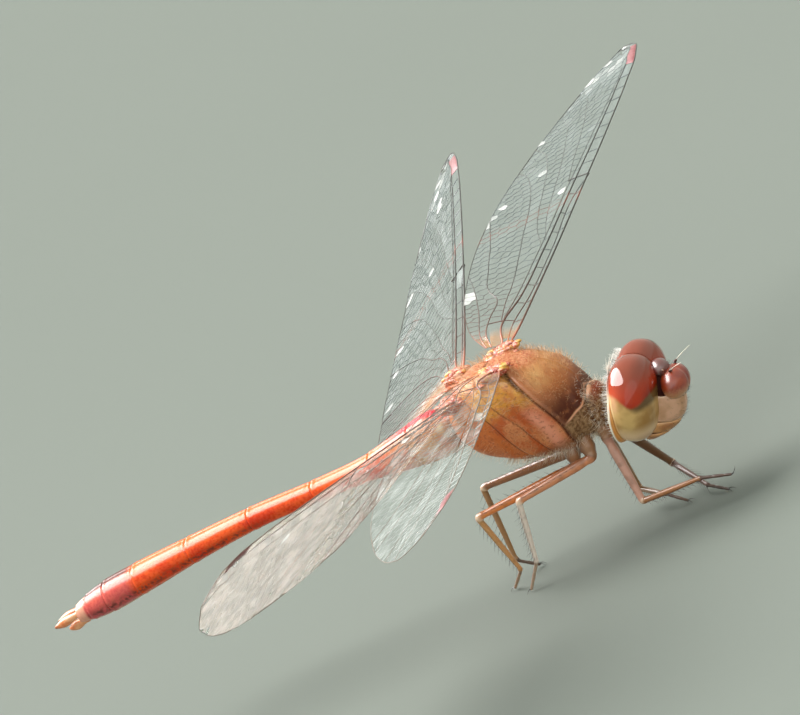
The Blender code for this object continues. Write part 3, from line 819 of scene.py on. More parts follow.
# Their course in each wing: places along the span, and how far back the vein lies there as a
# share of the chord. Past its last place it has reached the rear edge.
FORE["veins"] = dict(
    costa=((0.0, 1.0), (0.0, 0.0)),
    subcosta=((0.0, 0.04, 0.15, 0.3, 0.5, 0.53), (0.12, 0.19, 0.09, 0.065, 0.045, 0.0)),
    radius=((0.0, 0.04, 0.15, 0.3, 0.5, 0.68, 0.82, 0.92, 0.975, 1.0),
            (0.3, 0.38, 0.19, 0.135, 0.115, 0.105, 0.11, 0.13, 0.22, 0.6)),
    sector=((0.085, 0.15, 0.3, 0.5, 0.68, 0.82, 0.92, 0.975, 1.0),
            (0.4, 0.3, 0.225, 0.2, 0.195, 0.2, 0.25, 0.42, 0.8)),
    second=((0.53, 0.6, 0.7, 0.8, 0.88, 0.94), (0.2, 0.255, 0.33, 0.46, 0.66, 1.0)),
    brace=((0.36, 0.42, 0.5, 0.6, 0.7, 0.8, 0.875), (0.215, 0.285, 0.335, 0.4, 0.51, 0.7, 1.0)),
    third=((0.33, 0.38, 0.45, 0.55, 0.65, 0.72, 0.775), (0.22, 0.32, 0.4, 0.48, 0.6, 0.76, 1.0)),
    media=((0.085, 0.15, 0.2, 0.3, 0.4, 0.5, 0.6, 0.66, 0.7),
           (0.42, 0.42, 0.4, 0.44, 0.5, 0.565, 0.7, 0.84, 1.0)),
    cubitus=((0.0, 0.04, 0.1, 0.17, 0.2, 0.3, 0.4, 0.47, 0.53),
             (0.75, 0.72, 0.62, 0.55, 0.66, 0.77, 0.84, 0.92, 1.0)),
    anal=((0.0, 0.04, 0.1, 0.17, 0.24, 0.3), (0.95, 0.86, 0.8, 0.82, 0.9, 1.0)),
)
HIND["veins"] = dict(
    costa=((0.0, 1.0), (0.0, 0.0)),
    subcosta=((0.0, 0.04, 0.13, 0.3, 0.39, 0.42), (0.08, 0.065, 0.045, 0.042, 0.03, 0.0)),
    radius=((0.0, 0.04, 0.13, 0.28, 0.48, 0.68, 0.82, 0.92, 0.975, 1.0),
            (0.18, 0.13, 0.09, 0.085, 0.085, 0.1, 0.115, 0.14, 0.23, 0.6)),
    sector=((0.08, 0.13, 0.28, 0.48, 0.68, 0.82, 0.92, 0.975, 1.0),
            (0.17, 0.155, 0.15, 0.15, 0.175, 0.2, 0.26, 0.42, 0.8)),
    second=((0.44, 0.55, 0.68, 0.8, 0.88, 0.94), (0.15, 0.23, 0.33, 0.5, 0.7, 1.0)),
    brace=((0.3, 0.4, 0.5, 0.6, 0.72, 0.8, 0.855), (0.15, 0.25, 0.33, 0.42, 0.6, 0.8, 1.0)),
    third=((0.27, 0.33, 0.42, 0.52, 0.62, 0.7, 0.745), (0.15, 0.26, 0.36, 0.47, 0.64, 0.84, 1.0)),
    media=((0.08, 0.15, 0.22, 0.3, 0.4, 0.5, 0.58, 0.64), (0.18, 0.2, 0.27, 0.34, 0.45, 0.6, 0.8, 1.0)),
    cubitus=((0.0, 0.04, 0.1, 0.16, 0.22, 0.3, 0.38, 0.44, 0.47),
             (0.35, 0.25, 0.22, 0.26, 0.38, 0.52, 0.72, 0.9, 1.0)),
    anal=((0.0, 0.04, 0.1, 0.16, 0.2, 0.25, 0.285), (0.5, 0.34, 0.33, 0.42, 0.55, 0.8, 1.0)),
    loop=((0.0, 0.05, 0.1, 0.14, 0.17), (0.7, 0.52, 0.6, 0.8, 1.0)),
)
# Bands between two long veins: from and to along the span, and a cell's length and width.
FORE["bands"] = (
    ("costa", "subcosta", 0.02, 0.53, 1.45, 9.0), ("subcosta", "radius", 0.02, 0.53, 1.45, 9.0),
    ("costa", "radius", 0.53, 0.885, 1.0, 9.0), ("costa", "radius", 0.965, 1.0, 0.4, 0.6),
    ("radius", "cubitus", 0.0, 0.085, 9.0, 9.0), ("radius", "sector", 0.085, 1.0, 0.9, 0.9),
    ("sector", "second", 0.53, 1.0, 0.48, 0.46), ("second", "brace", 0.36, 0.94, 0.5, 0.46),
    ("brace", "third", 0.33, 0.875, 0.48, 0.46), ("third", "media", 0.085, 0.775, 0.56, 0.6),
    ("media", "cubitus", 0.085, 0.7, 0.5, 0.46), ("cubitus", "anal", 0.0, 0.53, 0.5, 0.46),
    ("anal", "margin", 0.0, 0.3, 0.45, 0.4),
)
HIND["bands"] = (
    ("costa", "subcosta", 0.02, 0.42, 1.5, 9.0), ("subcosta", "radius", 0.02, 0.42, 1.5, 9.0),
    ("costa", "radius", 0.42, 0.85, 1.05, 9.0), ("costa", "radius", 0.935, 1.0, 0.4, 0.6),
    ("radius", "cubitus", 0.0, 0.08, 9.0, 9.0), ("radius", "sector", 0.08, 1.0, 0.95, 0.9),
    ("sector", "second", 0.44, 1.0, 0.5, 0.48), ("second", "brace", 0.3, 0.94, 0.5, 0.48),
    ("brace", "third", 0.27, 0.855, 0.5, 0.48), ("third", "media", 0.08, 0.745, 0.56, 0.6),
    ("media", "cubitus", 0.08, 0.64, 0.5, 0.5), ("cubitus", "anal", 0.0, 0.47, 0.5, 0.5),
    ("anal", "loop", 0.0, 0.285, 0.48, 0.48), ("loop", "margin", 0.0, 0.17, 0.45, 0.45),
)
CROSS_STOUT, CROSS_LEFT, CROSS_RIGHT = 0.017, 0.0115, 0.008  # radii of the cross veins
EDGE_RADIUS, STOUT_RADII = 0.016, (0.025, 0.03)  # of the rear edge's vein, and arculus and nodus
CELL_SWELL = 0.028  # how far cells bulge, as a spread
FILM_THICKNESS = 0.012  # a little over life
VEIN_STEPS, VEIN_SIDES, EDGE_STEPS, TIP_STEPS, EDGE_SIDES = 110, 8, 160, 12, 6
SEED = 11


def vein_share(outline, name, at):
    """How far back a long vein lies along the span, as a share of the chord."""
    if name == "margin":
        return np.ones_like(at)
    parent, (places, shares) = VEINS[name][2], outline["veins"][name]
    share = np.where(at > places[-1], shares[-1], smooth(at, places, shares))
    return np.where(at < places[0], vein_share(outline, parent, at), share) if parent else share


def pleat(name):
    """How high a vein lies in the pleats."""
    return 0.0 if name == "margin" else VEINS[name][1]


def pleated(at):
    """How deep the pleats are along the span: they run out at the foot and the tip."""
    return ease(at, 0.0, 0.06) * (1 - ease(at, 0.93, 1.0))


def chord_of(outline, at):
    """The front and the rear edge of a wing along the span."""
    return smooth(at, outline["places"], outline["lead"]), smooth(at, outline["places"], outline["trail"])


def wing_point(wing, at, share, lift=0.0):
    """A point of a wing: the chord turned by a pitch that grows from root to tip, at that
    share of the span, lifted square to the film, then raised, swept and put at its root."""
    _, sign, outline, root, sweep_back, rise, pitch = wing
    lead, trail = chord_of(outline, at)
    turned = np.radians(pitch[0] + (pitch[1] - pitch[0]) * at)
    chord = lead + (trail - lead) * share
    c, s = np.cos(turned), np.sin(turned)
    flat = np.stack([chord * c - lift * s, at * outline["span"] + 0 * chord, chord * s + lift * c], -1)
    a, b = math.radians(-sweep_back), math.radians(rise)
    swept = np.array(((math.cos(a), -math.sin(a), 0), (math.sin(a), math.cos(a), 0), (0, 0, 1)))
    raised = np.array(((1, 0, 0), (0, math.cos(b), -math.sin(b)), (0, math.sin(b), math.cos(b))))
    return (flat @ (swept @ raised).T + root) * (1, sign, 1)


def band_seeds(width_at, start, stop, long, wide, rng):
    """Cell middles in a band, in millimetres along and across it: columns a cell apart, each
    with as many rows as the band's width takes, every other row set half a cell on."""
    columns = max(1, round((stop - start) / long))
    u = start + (np.arange(columns) + 0.5) * (stop - start) / columns
    width = width_at(u)
    rows = np.maximum(1, np.round(width / wide)).astype(int)
    k = np.repeat(np.arange(columns), rows)
    row = np.concatenate([np.arange(n) for n in rows])
    stagger = np.where(rows[k] > 1, (row % 2 - 0.5) * 0.5, 0) * long
    jitter = rng.uniform(-0.13, 0.13, (2, len(k)))
    v = width[k] * (row + 0.5 + jitter[1] * (rows[k] > 1)) / rows[k]
    seeds = np.stack([u[k] + stagger + jitter[0] * long, v], -1)
    return seeds[width[k] > 0.1]


def band_cells(width_at, start, stop, long, wide, rng):
    """The cells of a band and the cross veins between them. Each cell is all that lies nearest
    to its seed; seeds mirrored in the band's edges make the cells end there. Returns each
    cell's corners in turn, and the two ends of each cross vein."""
    seeds = band_seeds(width_at, start, stop, long, wide, rng)
    if len(seeds) == 0:
        return [], np.zeros((0, 2, 2))
    u, v = seeds.T
    slope = (width_at(u + 0.05) - width_at(u - 0.05)) / 0.1
    off = (width_at(u) - v) / np.hypot(1, slope)
    normal = np.stack([-slope, np.ones_like(slope)], -1) / np.hypot(1, slope)[:, None]
    mirrored = [seeds * (1, -1), seeds + 2 * off[:, None] * normal,
                seeds * (-1, 1) + (2 * start, 0), seeds * (-1, 1) + (2 * stop, 0)]
    everywhere = np.vstack([seeds, *mirrored])
    points, _, triangles, origins, *_ = delaunay_2d_cdt(everywhere.tolist(), [], [], 0, 1e-5)
    corners = np.array([tuple(p) for p in points])
    tri = np.array(triangles)
    owner = np.array([o[0] if o else -1 for o in origins])
    a, b, c = (corners[tri[:, k]] for k in range(3))
    # The middle of the circle through each triangle's corners is where three cells meet.
    d = 2 * (a[:, 0] * (b[:, 1] - c[:, 1]) + b[:, 0] * (c[:, 1] - a[:, 1]) + c[:, 0] * (a[:, 1] - b[:, 1]))
    d = np.where(np.abs(d) < 1e-9, 1e-9, d)
    aa, bb, cc = ((p**2).sum(1) for p in (a, b, c))
    meet = np.stack([
        (aa * (b[:, 1] - c[:, 1]) + bb * (c[:, 1] - a[:, 1]) + cc * (a[:, 1] - b[:, 1])) / d,
        (aa * (c[:, 0] - b[:, 0]) + bb * (a[:, 0] - c[:, 0]) + cc * (b[:, 0] - a[:, 0])) / d,
    ], -1)
    meet[:, 0] = np.clip(meet[:, 0], start, stop)
    limit = width_at(meet[:, 0])
    meet[:, 1] = np.clip(meet[:, 1], 0, limit)
    meet[:, 1] = np.where(meet[:, 1] < 0.07, 0, np.where(meet[:, 1] > limit - 0.07, limit, meet[:, 1]))
    # Each cell's corners, in order round its seed.
    home = owner[tri].ravel()
    at = np.repeat(np.arange(len(tri)), 3)
    real = (home >= 0) & (home < len(seeds))
    home, at = home[real], at[real]
    turned = np.arctan2(*(meet[at] - seeds[home]).T[::-1])
    order = np.lexsort((turned, home))
    home, at = home[order], at[order]
    cells = [meet[at[home == k]] for k in range(len(seeds))]
    # Two triangles that share an edge between two real seeds give a cross vein.
    sides = np.sort(tri[:, [0, 1, 1, 2, 2, 0]].reshape(-1, 2), axis=1)
    owners = owner[sides]
    inner = ((owners >= 0) & (owners < len(seeds))).all(1)
    which = np.repeat(np.arange(len(tri)), 3)[inner]
    code = sides[inner] @ np.array((1, 1_000_003))
    order = np.argsort(code, kind="stable")
    code, which = code[order], which[order]
    twin = np.nonzero(code[1:] == code[:-1])[0]
    ends = meet[np.stack([which[twin], which[twin + 1]], -1)]
    return cells, ends[np.linalg.norm(ends[:, 0] - ends[:, 1], axis=1) > 0.03]


def rods(starts, stops, radii):
    """Thin closed prisms from starts to stops, a little longer than the gap, in one mesh."""
    sides = 5
    way = stops - starts
    way /= np.maximum(np.linalg.norm(way, axis=1, keepdims=True), 1e-9)
    starts, stops = starts - way * radii[:, None] * 0.5, stops + way * radii[:, None] * 0.5
    ring = rings_round(way, (0.12, 0.05, 0.99), sides) * radii[:, None, None]
    points = np.concatenate([starts[:, None] + ring, stops[:, None] + ring], 1)
    return points.reshape(-1, 3), repeated(capped(2, sides), len(points), 2 * sides)


def joined(parts):
    """Several (points, faces) as one."""
    points, faces, start = [], [], 0
    for some, polygons in parts:
        points.append(some)
        faces += [[corner + start for corner in polygon] for polygon in polygons]
        start += len(some)
    return np.vstack(points), faces


def cell_painted_glint(left, front, wide, at, back, rng):
    """How much a cell is painted white as a painted glint of light: some by chance near the rear edge
    and the tip, one group near the front edge, and on the left wings all the tips a little."""
    chance = 0.01 + 0.16 * ease(back, 0.86, 0.96) + 0.1 * ease(at, 0.9, 0.97)
    chance *= (wide < 0.7) * (at > 0.15) * (1.0 if left else 0.25)
    chance += 1.2 * front * hump(at - 0.37, 0.035)
    gleam = float(rng.uniform() < chance) * rng.uniform(0.2, 0.45 if front else 0.8)
    gleam += 0.5 * left * rng.uniform(0.2, 1.0) * ease(at, 0.82, 0.95)
    return min(gleam, 1.0)


def band_parts(wing, band, rng):
    """One band of a wing: the film's cells, each a fan of triangles round a bulging middle, how
    much painted glint each of their points carries, and the cross veins' rods."""
    outline, left = wing[2], wing[1] > 0
    span = outline["span"]
    upper, lower, start, stop, long, wide = band

    def lines(u):
        """The share of the span, the chord, and where the band's two veins lie on it."""
        at = np.clip(u / span, 0, 1)
        lead, trail = chord_of(outline, at)
        return at, lead - trail, vein_share(outline, upper, at), vein_share(outline, lower, at)

    def width_at(u):
        _, chord, first, last = lines(u)
        return np.maximum((last - first) * chord, 0)

    def lay(uv, swell=0.0):
        at, chord, first, _ = lines(uv[:, 0])
        across = np.clip(uv[:, 1] / np.maximum(width_at(uv[:, 0]), 1e-3), 0, 1)
        lift = (pleat(upper) * (1 - across) + pleat(lower) * across) * pleated(at)
        return wing_point(wing, at, first + uv[:, 1] / np.maximum(chord, 1e-3), lift + swell)

    cells, ends = band_cells(width_at, start * span, stop * span, long, wide, rng)
    fans, painted_glint, cross = [], [], []
    for cell in cells:
        n, middle = len(cell), cell.mean(0)
        swell = np.append(np.zeros(n), rng.normal(0, CELL_SWELL))
        fans.append((lay(np.vstack([cell, middle]), swell), [[k, (k + 1) % n, n] for k in range(n)]))
        at, chord, first, _ = lines(middle[0])
        back = first + middle[1] / max(chord, 1e-3)
        painted_glint += [cell_painted_glint(left, lower == "radius", wide, at, back, rng)] * (n + 1)
    if len(ends):
        stout = CROSS_STOUT if wide > 1 else CROSS_LEFT if left else CROSS_RIGHT
        cross.append(rods(lay(ends[:, 0]), lay(ends[:, 1]), np.full(len(ends), stout)))
    return fans, painted_glint, cross


def wing_parts(wing, rng):
    """The film of one wing with its painted glint, the long veins' tubes, and the cross veins' rods."""
    outline = wing[2]
    fans, painted_glint, cross, veins = [], [], [], []
    for band in outline["bands"]:
        for whole, part in zip((fans, painted_glint, cross), band_parts(wing, band, rng)):
            whole += part
    thick = 0.7 if wing[1] < 0 else 0.85
    for name, (places, _) in outline["veins"].items():
        radius, height, _ = VEINS[name]
        at = np.linspace(places[0], places[-1], VEIN_STEPS)
        path = wing_point(wing, at, vein_share(outline, name, at), height * pleated(at))
        thin = radius * thick * (1 - 0.55 * at)
        tube = sweep(path, thin, (1.0, 0.0, 0.15), VEIN_SIDES)
        veins.append((tube, capped(len(path), VEIN_SIDES)))
    edge = wing_point(wing, np.linspace(0, 1, EDGE_STEPS), np.ones(EDGE_STEPS))
    tip = wing_point(wing, np.ones(TIP_STEPS), np.linspace(1, 0, TIP_STEPS))
    path = np.vstack([edge, tip[1:]])
    tube = sweep(path, np.full(len(path), EDGE_RADIUS), (0.2, 0.1, 1.0), EDGE_SIDES)
    veins.append((tube, capped(len(path), EDGE_SIDES)))
    # The arculus, a stout cross vein near the foot, and the nodus, a kink in the front edge.
    foot, node = outline["veins"]["media"][0][0], outline["veins"]["subcosta"][0][-1]
    ends = np.array([vein_share(outline, name, foot) for name in ("radius", "cubitus")])
    arculus = wing_point(wing, np.full(2, foot), ends)
    kink = np.array((node - 0.004, node + 0.004)), np.array((0.0, vein_share(outline, "sector", node)))
    nodus = wing_point(wing, *kink, 0.02)
    veins.append(rods(*np.stack([arculus, nodus], 1), np.array(STOUT_RADII)))
    return (*joined(fans), np.array(painted_glint)), joined(veins), joined(cross)


def stigma(wing):
    """The pterostigma: a pad swollen on both faces, (1 - |v|^4) (1 - |u|^4) thick, between the
    front edge and the radius, with slanting ends."""
    outline = wing[2]
    first, last = outline["stigma"]
    rows, columns = 30, 12
    u, v = grid(np.linspace(-1, 1, rows), np.linspace(-1, 1, columns))
    at = (first + last) / 2 + (last - first) / 2 * (u * 0.98) + 0.004 * v
    back = vein_share(outline, "radius", at)
    share = back * (0.5 + 0.5 * v * 0.94)
    thick = 0.045 * (1 - np.abs(u) ** 4) * (1 - np.abs(v) ** 4) + 0.006
    middle = pleat("radius") * (0.5 + 0.5 * v) * (1 - ease(at, 0.93, 1.0))
    lifts = ((middle + side * thick).ravel() for side in (1, -1))
    top, under = (wing_point(wing, at.ravel(), share.ravel(), lift) for lift in lifts)
    sheet = grid_faces(rows, columns, wrap=False)
    turned = sheet[:, ::-1] + rows * columns
    border = np.concatenate([
        np.arange(columns), np.arange(2, rows) * columns - 1,
        np.arange(rows * columns - 1, (rows - 1) * columns - 1, -1), np.arange(rows - 2, 0, -1) * columns,
    ])
    ahead = np.roll(border, -1)
    wall = np.stack([border, ahead, ahead + rows * columns, border + rows * columns], -1)[:, ::-1]
    return np.vstack([top, under]), np.vstack([sheet, turned, wall])


def film_finish(name, milk_and_sheen, contrast, dull, bright, scatter=0.0):
    """Film: see-through or more milky, in streaks along the wing, amber at the foot, with a few
    cells painted white as painted glints; it shows more at a low angle. In a milky film light
    scatters through to the far side, over a distance in millimetres."""
    deep = dict(Subsurface_Weight=1.0, Subsurface_Scale=scatter * MM, Subsurface_Radius=(1.0, 1.0, 1.0))
    film = Finish(name, Roughness=0.3, IOR=1.5, Specular_IOR_Level=0.6, **(deep if scatter else {}))
    point, _, y, _ = film.place()
    out = abs(y)
    painted_glint = film.field("painted_glint")
    cloud, streak = film.noise(point, 0.6, 3.0), film.noise(point, 2.2, 3.0, (1.0, 0.25, 1.0))
    amber = out.step(3.4, 1.7) * cloud.step(0.2, 0.6)
    film.paint(
        film.mix((cloud * 0.5 + streak * 0.5).step(0.35, 0.65), dull, bright),
        # Painted glints: white on the cells that catch the light.
        (painted_glint.step(0.1, 0.6), "ffffff"),
        (amber, "d08a34"),
    )
    graze = film.node("LayerWeight", {}, {"Blend": 0.35}, "Facing")
    alpha = graze * graze * 0.07 + painted_glint * (0.4 if milk_and_sheen < 0.2 else 0.2) + amber * 0.35
    body = (streak * 0.7 + cloud * 0.3).step(0.44, 0.64) * contrast + 1.0
    # Milky film: slight on the left wings; on the right wings it is painted sheen of light off the film.
    film.feed(Alpha=(alpha + body * (out.step(4.0, 12.5) * 0.86 + 0.14) * milk_and_sheen).hold())
    film.bump(film.noise(point, 3.0, 2.0), 0.02, 0.4)
    return film


def vein_finish(name, dark, light):
    """Brown veins, reddish towards the foot and at the kink in the front edge, waxy."""
    vein = Finish(name, Roughness=0.3, Coat_Weight=0.3, Coat_Roughness=0.15)
    point, _, y, _ = vein.place()
    out = abs(y)
    vein.paint(
        vein.mix(vein.noise(point, 2.0, 2.0), dark, light),
        (out.step(9.0, 2.0) * 0.6, "7a4430"),
        (out.bell(12.6, 0.8) * 0.6, "9a4a34"),
        (out.step(3.4, 1.6), "bc6a50"),
    )
    vein.bump(vein.noise(point, 30.0, 2.0), 0.006, 0.5)
    return vein


def stigma_finish():
    """Thick rosy cuticle in soft clouds."""
    pad = Finish("pterostigma", Roughness=0.4, Coat_Weight=0.3)
    point = pad.place()[0]
    grain = pad.noise(point, 9.0, 3.0)
    pad.paint(pad.mix(grain.step(0.3, 0.7), "7c2c34", "a86468"))
    pad.bump(grain, 0.01, 0.6)
    return pad


# The left wings are clear with dark veins. On the right ones the film is painted milky as painted
# sheen of light off the film, a little on the fore wing and strongly on the hind wing.
WING_LOOKS = [
    (
        film_finish("film_" + film, *look),
        vein_finish("veins_" + tone, *long),
        vein_finish("cross_" + tone, *fine),
    )
    for film, look, tone, long, fine in (
        ("clear", (0.045, 0.5, "7c8a90", "a8b6ba"), "dark", ("2e2826", "4c4644"), ("34383c", "565e62")),
        ("sheen_blue", (0.03, 5.0, "a8b0ae", "ccd2d0"), "pale", ("6e5a50", "a08c80"), ("7e8480", "aab0ac")),
        ("sheen_beige", (0.36, 0.5, "806a5e", "a89082", 0.2), "tan", ("543a2e", "8a6e5c"), ("9a8878", "c4b4a4")),
    )
]
pad = stigma_finish()
rng = np.random.default_rng(SEED)
for wing in WINGS:
    name, sign, outline, *_ = wing
    film, long_vein, cross_vein = WING_LOOKS[0 if sign > 0 else 1 if outline is FORE else 2]
    (points, faces, painted_glint), veins, cross = wing_parts(wing, rng)
    sheet = piece(name + "_film", points, faces, film, "wing_clear", [name], dict(painted_glint=painted_glint), flat=True)
    solid = sheet.modifiers.new("thickness", "SOLIDIFY")
    solid.thickness, solid.offset = FILM_THICKNESS * MM, 0.0
    piece(name + "_veins", *veins, long_vein, "wing_clear")
    piece(name + "_cross", *cross, cross_vein, "wing_clear")
    piece(name + "_stigma", *stigma(wing), pad, "wing_clear")

# ------------------------------------------------------------
# Wing hinges. At the foot of each wing lie small hard plates and knobs in soft folded skin,
# rosy and cream, where the flight muscles pull.
# ------------------------------------------------------------
hinge = Finish("hinge_plates", Roughness=0.5, Coat_Weight=0.15, Coat_Roughness=0.25)
point, _, _, z = hinge.place()
patch, fine = hinge.noise(point, 3.0, 2.0), hinge.noise(point, 9.0, 4.0)
hinge.paint(
    hinge.mix(patch.step(0.42, 0.58), "a8341c", "cc6c3c"),
    (patch.bell(0.42, 0.04) * 0.7, "f0ccb0"),
    (fine.step(0.55, 0.7) * 0.6, "8c3218"),
    (z.step(1.7, 2.1) * patch.step(0.5, 0.62), "c89a30"),
)
hinge.bump(fine, 0.05, 0.8)
KNOBS, CUSHION_WIDE = 42, 0.42


def back_height(x, y):
    """Height of the back at a place, by the superellipse of the thorax's section there."""
    half, power = smooth(x, THORAX_X, THORAX_HALF), smooth(x, THORAX_X, THORAX_SIDE_POWER)
    c = np.clip(y / half, 0, 0.98) ** (1 / power)
    return (smooth(x, THORAX_X, THORAX_TOP) + 0.3) * (1 - c**2) ** 0.44 - 0.3


for name, sign, outline, root, *_ in WINGS:
    # A soft cushion under the wing's foot, and the plates and knobs strewn over it.
    reach = outline["hinge_reach"]
    middle = np.array((root[0] - 0.4, root[1] - 0.12))
    under = back_height(*middle[:, None])[0]
    tall, height = (root[2] - under) / 2 + 0.1, (root[2] + under) / 2
    x = root[0] + 0.15 - rng.uniform(-0.1, 1.0, KNOBS) * outline["hinge_spread"]
    y = root[1] + rng.uniform(-0.8, 0.15, KNOBS)
    left = 1 - ((x - middle[0]) / reach) ** 2 - ((y - middle[1]) / CUSHION_WIDE) ** 2
    cushion = np.where(left > 0, height + tall * np.sqrt(np.maximum(left, 0)), -9)
    z = np.maximum(back_height(x, y), cushion) - 0.03
    centres = np.vstack([np.stack([x, sign * y, z], -1), (middle[0], sign * middle[1], height)])
    knobs = rng.uniform((0.13, 0.1, 0.06), (0.34, 0.2, 0.13), (KNOBS, 3))
    halves = np.vstack([knobs, (reach, CUSHION_WIDE, tall)])
    piece(name + "_hinge", *blobs(centres, halves, 12, 16), hinge, "thorax_brown")

# ------------------------------------------------------------
# Legs. Each real leg is one jointed tube of cuticle: a stout coxa and trochanter at the body,
# a long femur, a thinner tibia and a foot of three joints that ends in two hooked claws. Rows
# of stiff black spines line the femur and the tibia.
# ------------------------------------------------------------
# Each leg's joints: the top of the coxa, then the ends of coxa, femur, tibia and foot.
LEGS = dict(
    fore_right=((2.0, -0.55, -2.3), (1.9, -0.85, -3.0), (2.1, -1.6, -6.05), (5.15, -1.85, -6.1),
                (6.5, -1.7, -6.6)),
    fore_left=((1.9, 0.55, -2.3), (1.75, 0.75, -3.1), (2.42, 2.3, -6.3), (4.25, 0.3, -7.25),
               (5.3, -0.25, FLOOR)),
    mid_right=((0.9, -0.75, -2.5), (0.95, -1.15, -3.4), (-2.4, -2.8, -3.3), (-3.67, -1.9, -6.45),
               (-4.8, -1.6, FLOOR)),
    mid_left=((1.0, 0.75, -2.5), (1.05, 1.05, -3.5), (0.45, 2.2, -6.7), (2.0, 0.9, -7.0),
              (2.95, 0.6, FLOOR)),
    hind_right=((0.1, -0.65, -2.5), (0.05, -1.0, -3.5), (-4.5, -2.8, -3.2), (-4.9, -1.1, -6.75),
                (-6.0, -0.4, FLOOR)),
    hind_left=((0.0, 0.65, -2.5), (-0.1, 0.95, -3.5), (-5.6, 1.5, -3.45), (-5.85, 0.95, -6.95),
               (-5.0, 1.1, FLOOR)),
)
# Each leg's colours: the femur, the tibia and the foot; the right legs are painted lighter as
# painted light and the left ones darker as painted shade.
LEG_COLOURS_LIT_AND_SHADED = dict(
    fore_right=("c8907c", "a86c40", "5a3c30"), fore_left=("6e4626", "5c3424", "40281e"),
    mid_right=("dc8c60", "fae4d8", "b89880"), mid_left=("94683c", "805834", "5c4030"),
    hind_right=("e4823c", "dc9c60", "a47c5c"), hind_left=("985c30", "a07040", "5c4030"),
)
# Radius along the leg: (joint number, share of the way to the next one, radius).
LEG_RADII = (
    (0, 0.0, 0.36), (0, 0.55, 0.36), (0, 0.8, 0.27), (1, 0.0, 0.27), (1, 0.08, 0.2), (1, 0.2, 0.23),
    (1, 0.6, 0.2), (1, 0.93, 0.16), (2, 0.0, 0.19), (2, 0.06, 0.14), (2, 0.5, 0.135), (2, 0.94, 0.1),
    (3, 0.0, 0.115), (3, 0.08, 0.075), (3, 0.3, 0.08), (3, 0.36, 0.06), (3, 0.42, 0.078),
    (3, 0.68, 0.075), (3, 0.73, 0.055), (3, 0.8, 0.07), (3, 0.97, 0.06), (3, 1.0, 0.03),
)
LEG_SIDES = 20
FOOT_HEIGHT, CLAW_HEIGHT = 0.09, 0.02  # of a standing foot's middle, and the least of a claw's tip
SPINE_RADIUS, CLAW_RADIUS = 0.012, 0.032
# Rows of spines: from and to, in joints along the leg, how many, and how long.
SPINE_ROWS = ((1.25, 1.9, 9, 0.3), (2.08, 2.92, 11, 0.46))
# The claws' tips above the foot's end, and their bow: on the raised foot, and on the others.
RAISED_CLAW, STANDING_CLAW = (0.34, -0.35), (-0.055, 0.25)


def on_line(at, places, points):
    """The points of a line at some distances along it."""
    return np.stack([np.interp(at, places, column) for column in points.T], -1)


def leg_path(joints):
    """A line through the joints, its corners rounded by a running mean, the distance of each
    point along it, and that of each joint."""
    samples, spread = 170, 7
    lengths = np.linalg.norm(np.diff(joints, axis=0), axis=1)
    reach = np.concatenate([[0], np.cumsum(lengths)])
    at = np.linspace(0, reach[-1], samples)
    line = on_line(at, reach, joints)
    padded = np.pad(line, ((spread // 2, spread // 2), (0, 0)), "edge")
    kernel = np.ones(spread) / spread
    return np.stack([np.convolve(column, kernel, "valid") for column in padded.T], -1), at, reach


def thorns(roots, tips, radius, bend, rows=5, sides=5):
    """Curved cones from roots to tips in one mesh: the middle line bows by bend * s * (1 - s),
    and the radius falls as (1 - 0.9 * s)."""
    s = np.linspace(0, 1, rows)
    line = roots[:, None] + (tips - roots)[:, None] * s[:, None] + bend[:, None] * (s * (1 - s))[:, None]
    ring = rings_round(unit(tips - roots), (0.31, 0.85, 0.42), sides)
    thin = (1 - 0.9 * s)[:, None, None] * np.asarray(radius).reshape(-1, 1, 1, 1)
    points = (line[:, :, None] + ring[:, None] * thin).reshape(-1, 3)
    return points, repeated(capped(rows, sides), len(roots), rows * sides)


def leg_finish(name, femur, tibia, foot):
    """Waxy cuticle: one colour a segment, darker towards each end and down its outer edge."""
    leg = Finish("leg_" + name, Roughness=0.3, Coat_Weight=0.6, Coat_Roughness=0.12)
    point = leg.place()[0]
    along, streak = leg.field("along"), leg.field("outer")
    cloud, fine = leg.noise(point, 2.2, 3.0), leg.noise(point, 14.0, 3.0)
    colour = "a0704c"
    for joint, own in enumerate((femur, tibia, foot), 1):
        colour = leg.mix(along.step(joint - 0.03, joint + 0.03), colour, own)
    leg.paint(
        colour,
        (cloud.step(0.5, 0.75) * 0.4, "6a4028"),
        (streak.step(0.3, 0.95) * 0.4, "5a3422"),
        (along.bell(2.0, 0.05) * 0.7, "f4d4b8"),
        (along.bell(1.0, 0.08) * 0.4, "6a4028"),
    )
    leg.bump(fine, 0.012, 0.6)
    return leg


def spines(joints, path, at, reach, radii, across):
    """Rows of stiff spines on both sides of the leg's hollow, slanting towards the foot: their
    roots and tips."""
    roots, tips = [], []
    for start, stop, count, long in SPINE_ROWS:
        spot = np.interp(np.linspace(start, stop, count), range(5), reach)
        middle = on_line(spot, at, path)
        way = unit(joints[int(start) + 1] - joints[int(start)])
        thick = np.interp(spot, at, radii)[:, None]
        for lean in (-1, 1):
            out = unit(0.75 * np.cross(way, across) + 0.66 * lean * across)
            size = long * rng.uniform(0.8, 1.15, (count, 1))
            roots.append(middle + out * thick * 0.8)
            tips.append(middle + out * (thick + size * 0.75) + way * size * 0.75)
    return np.vstack(roots), np.vstack(tips)


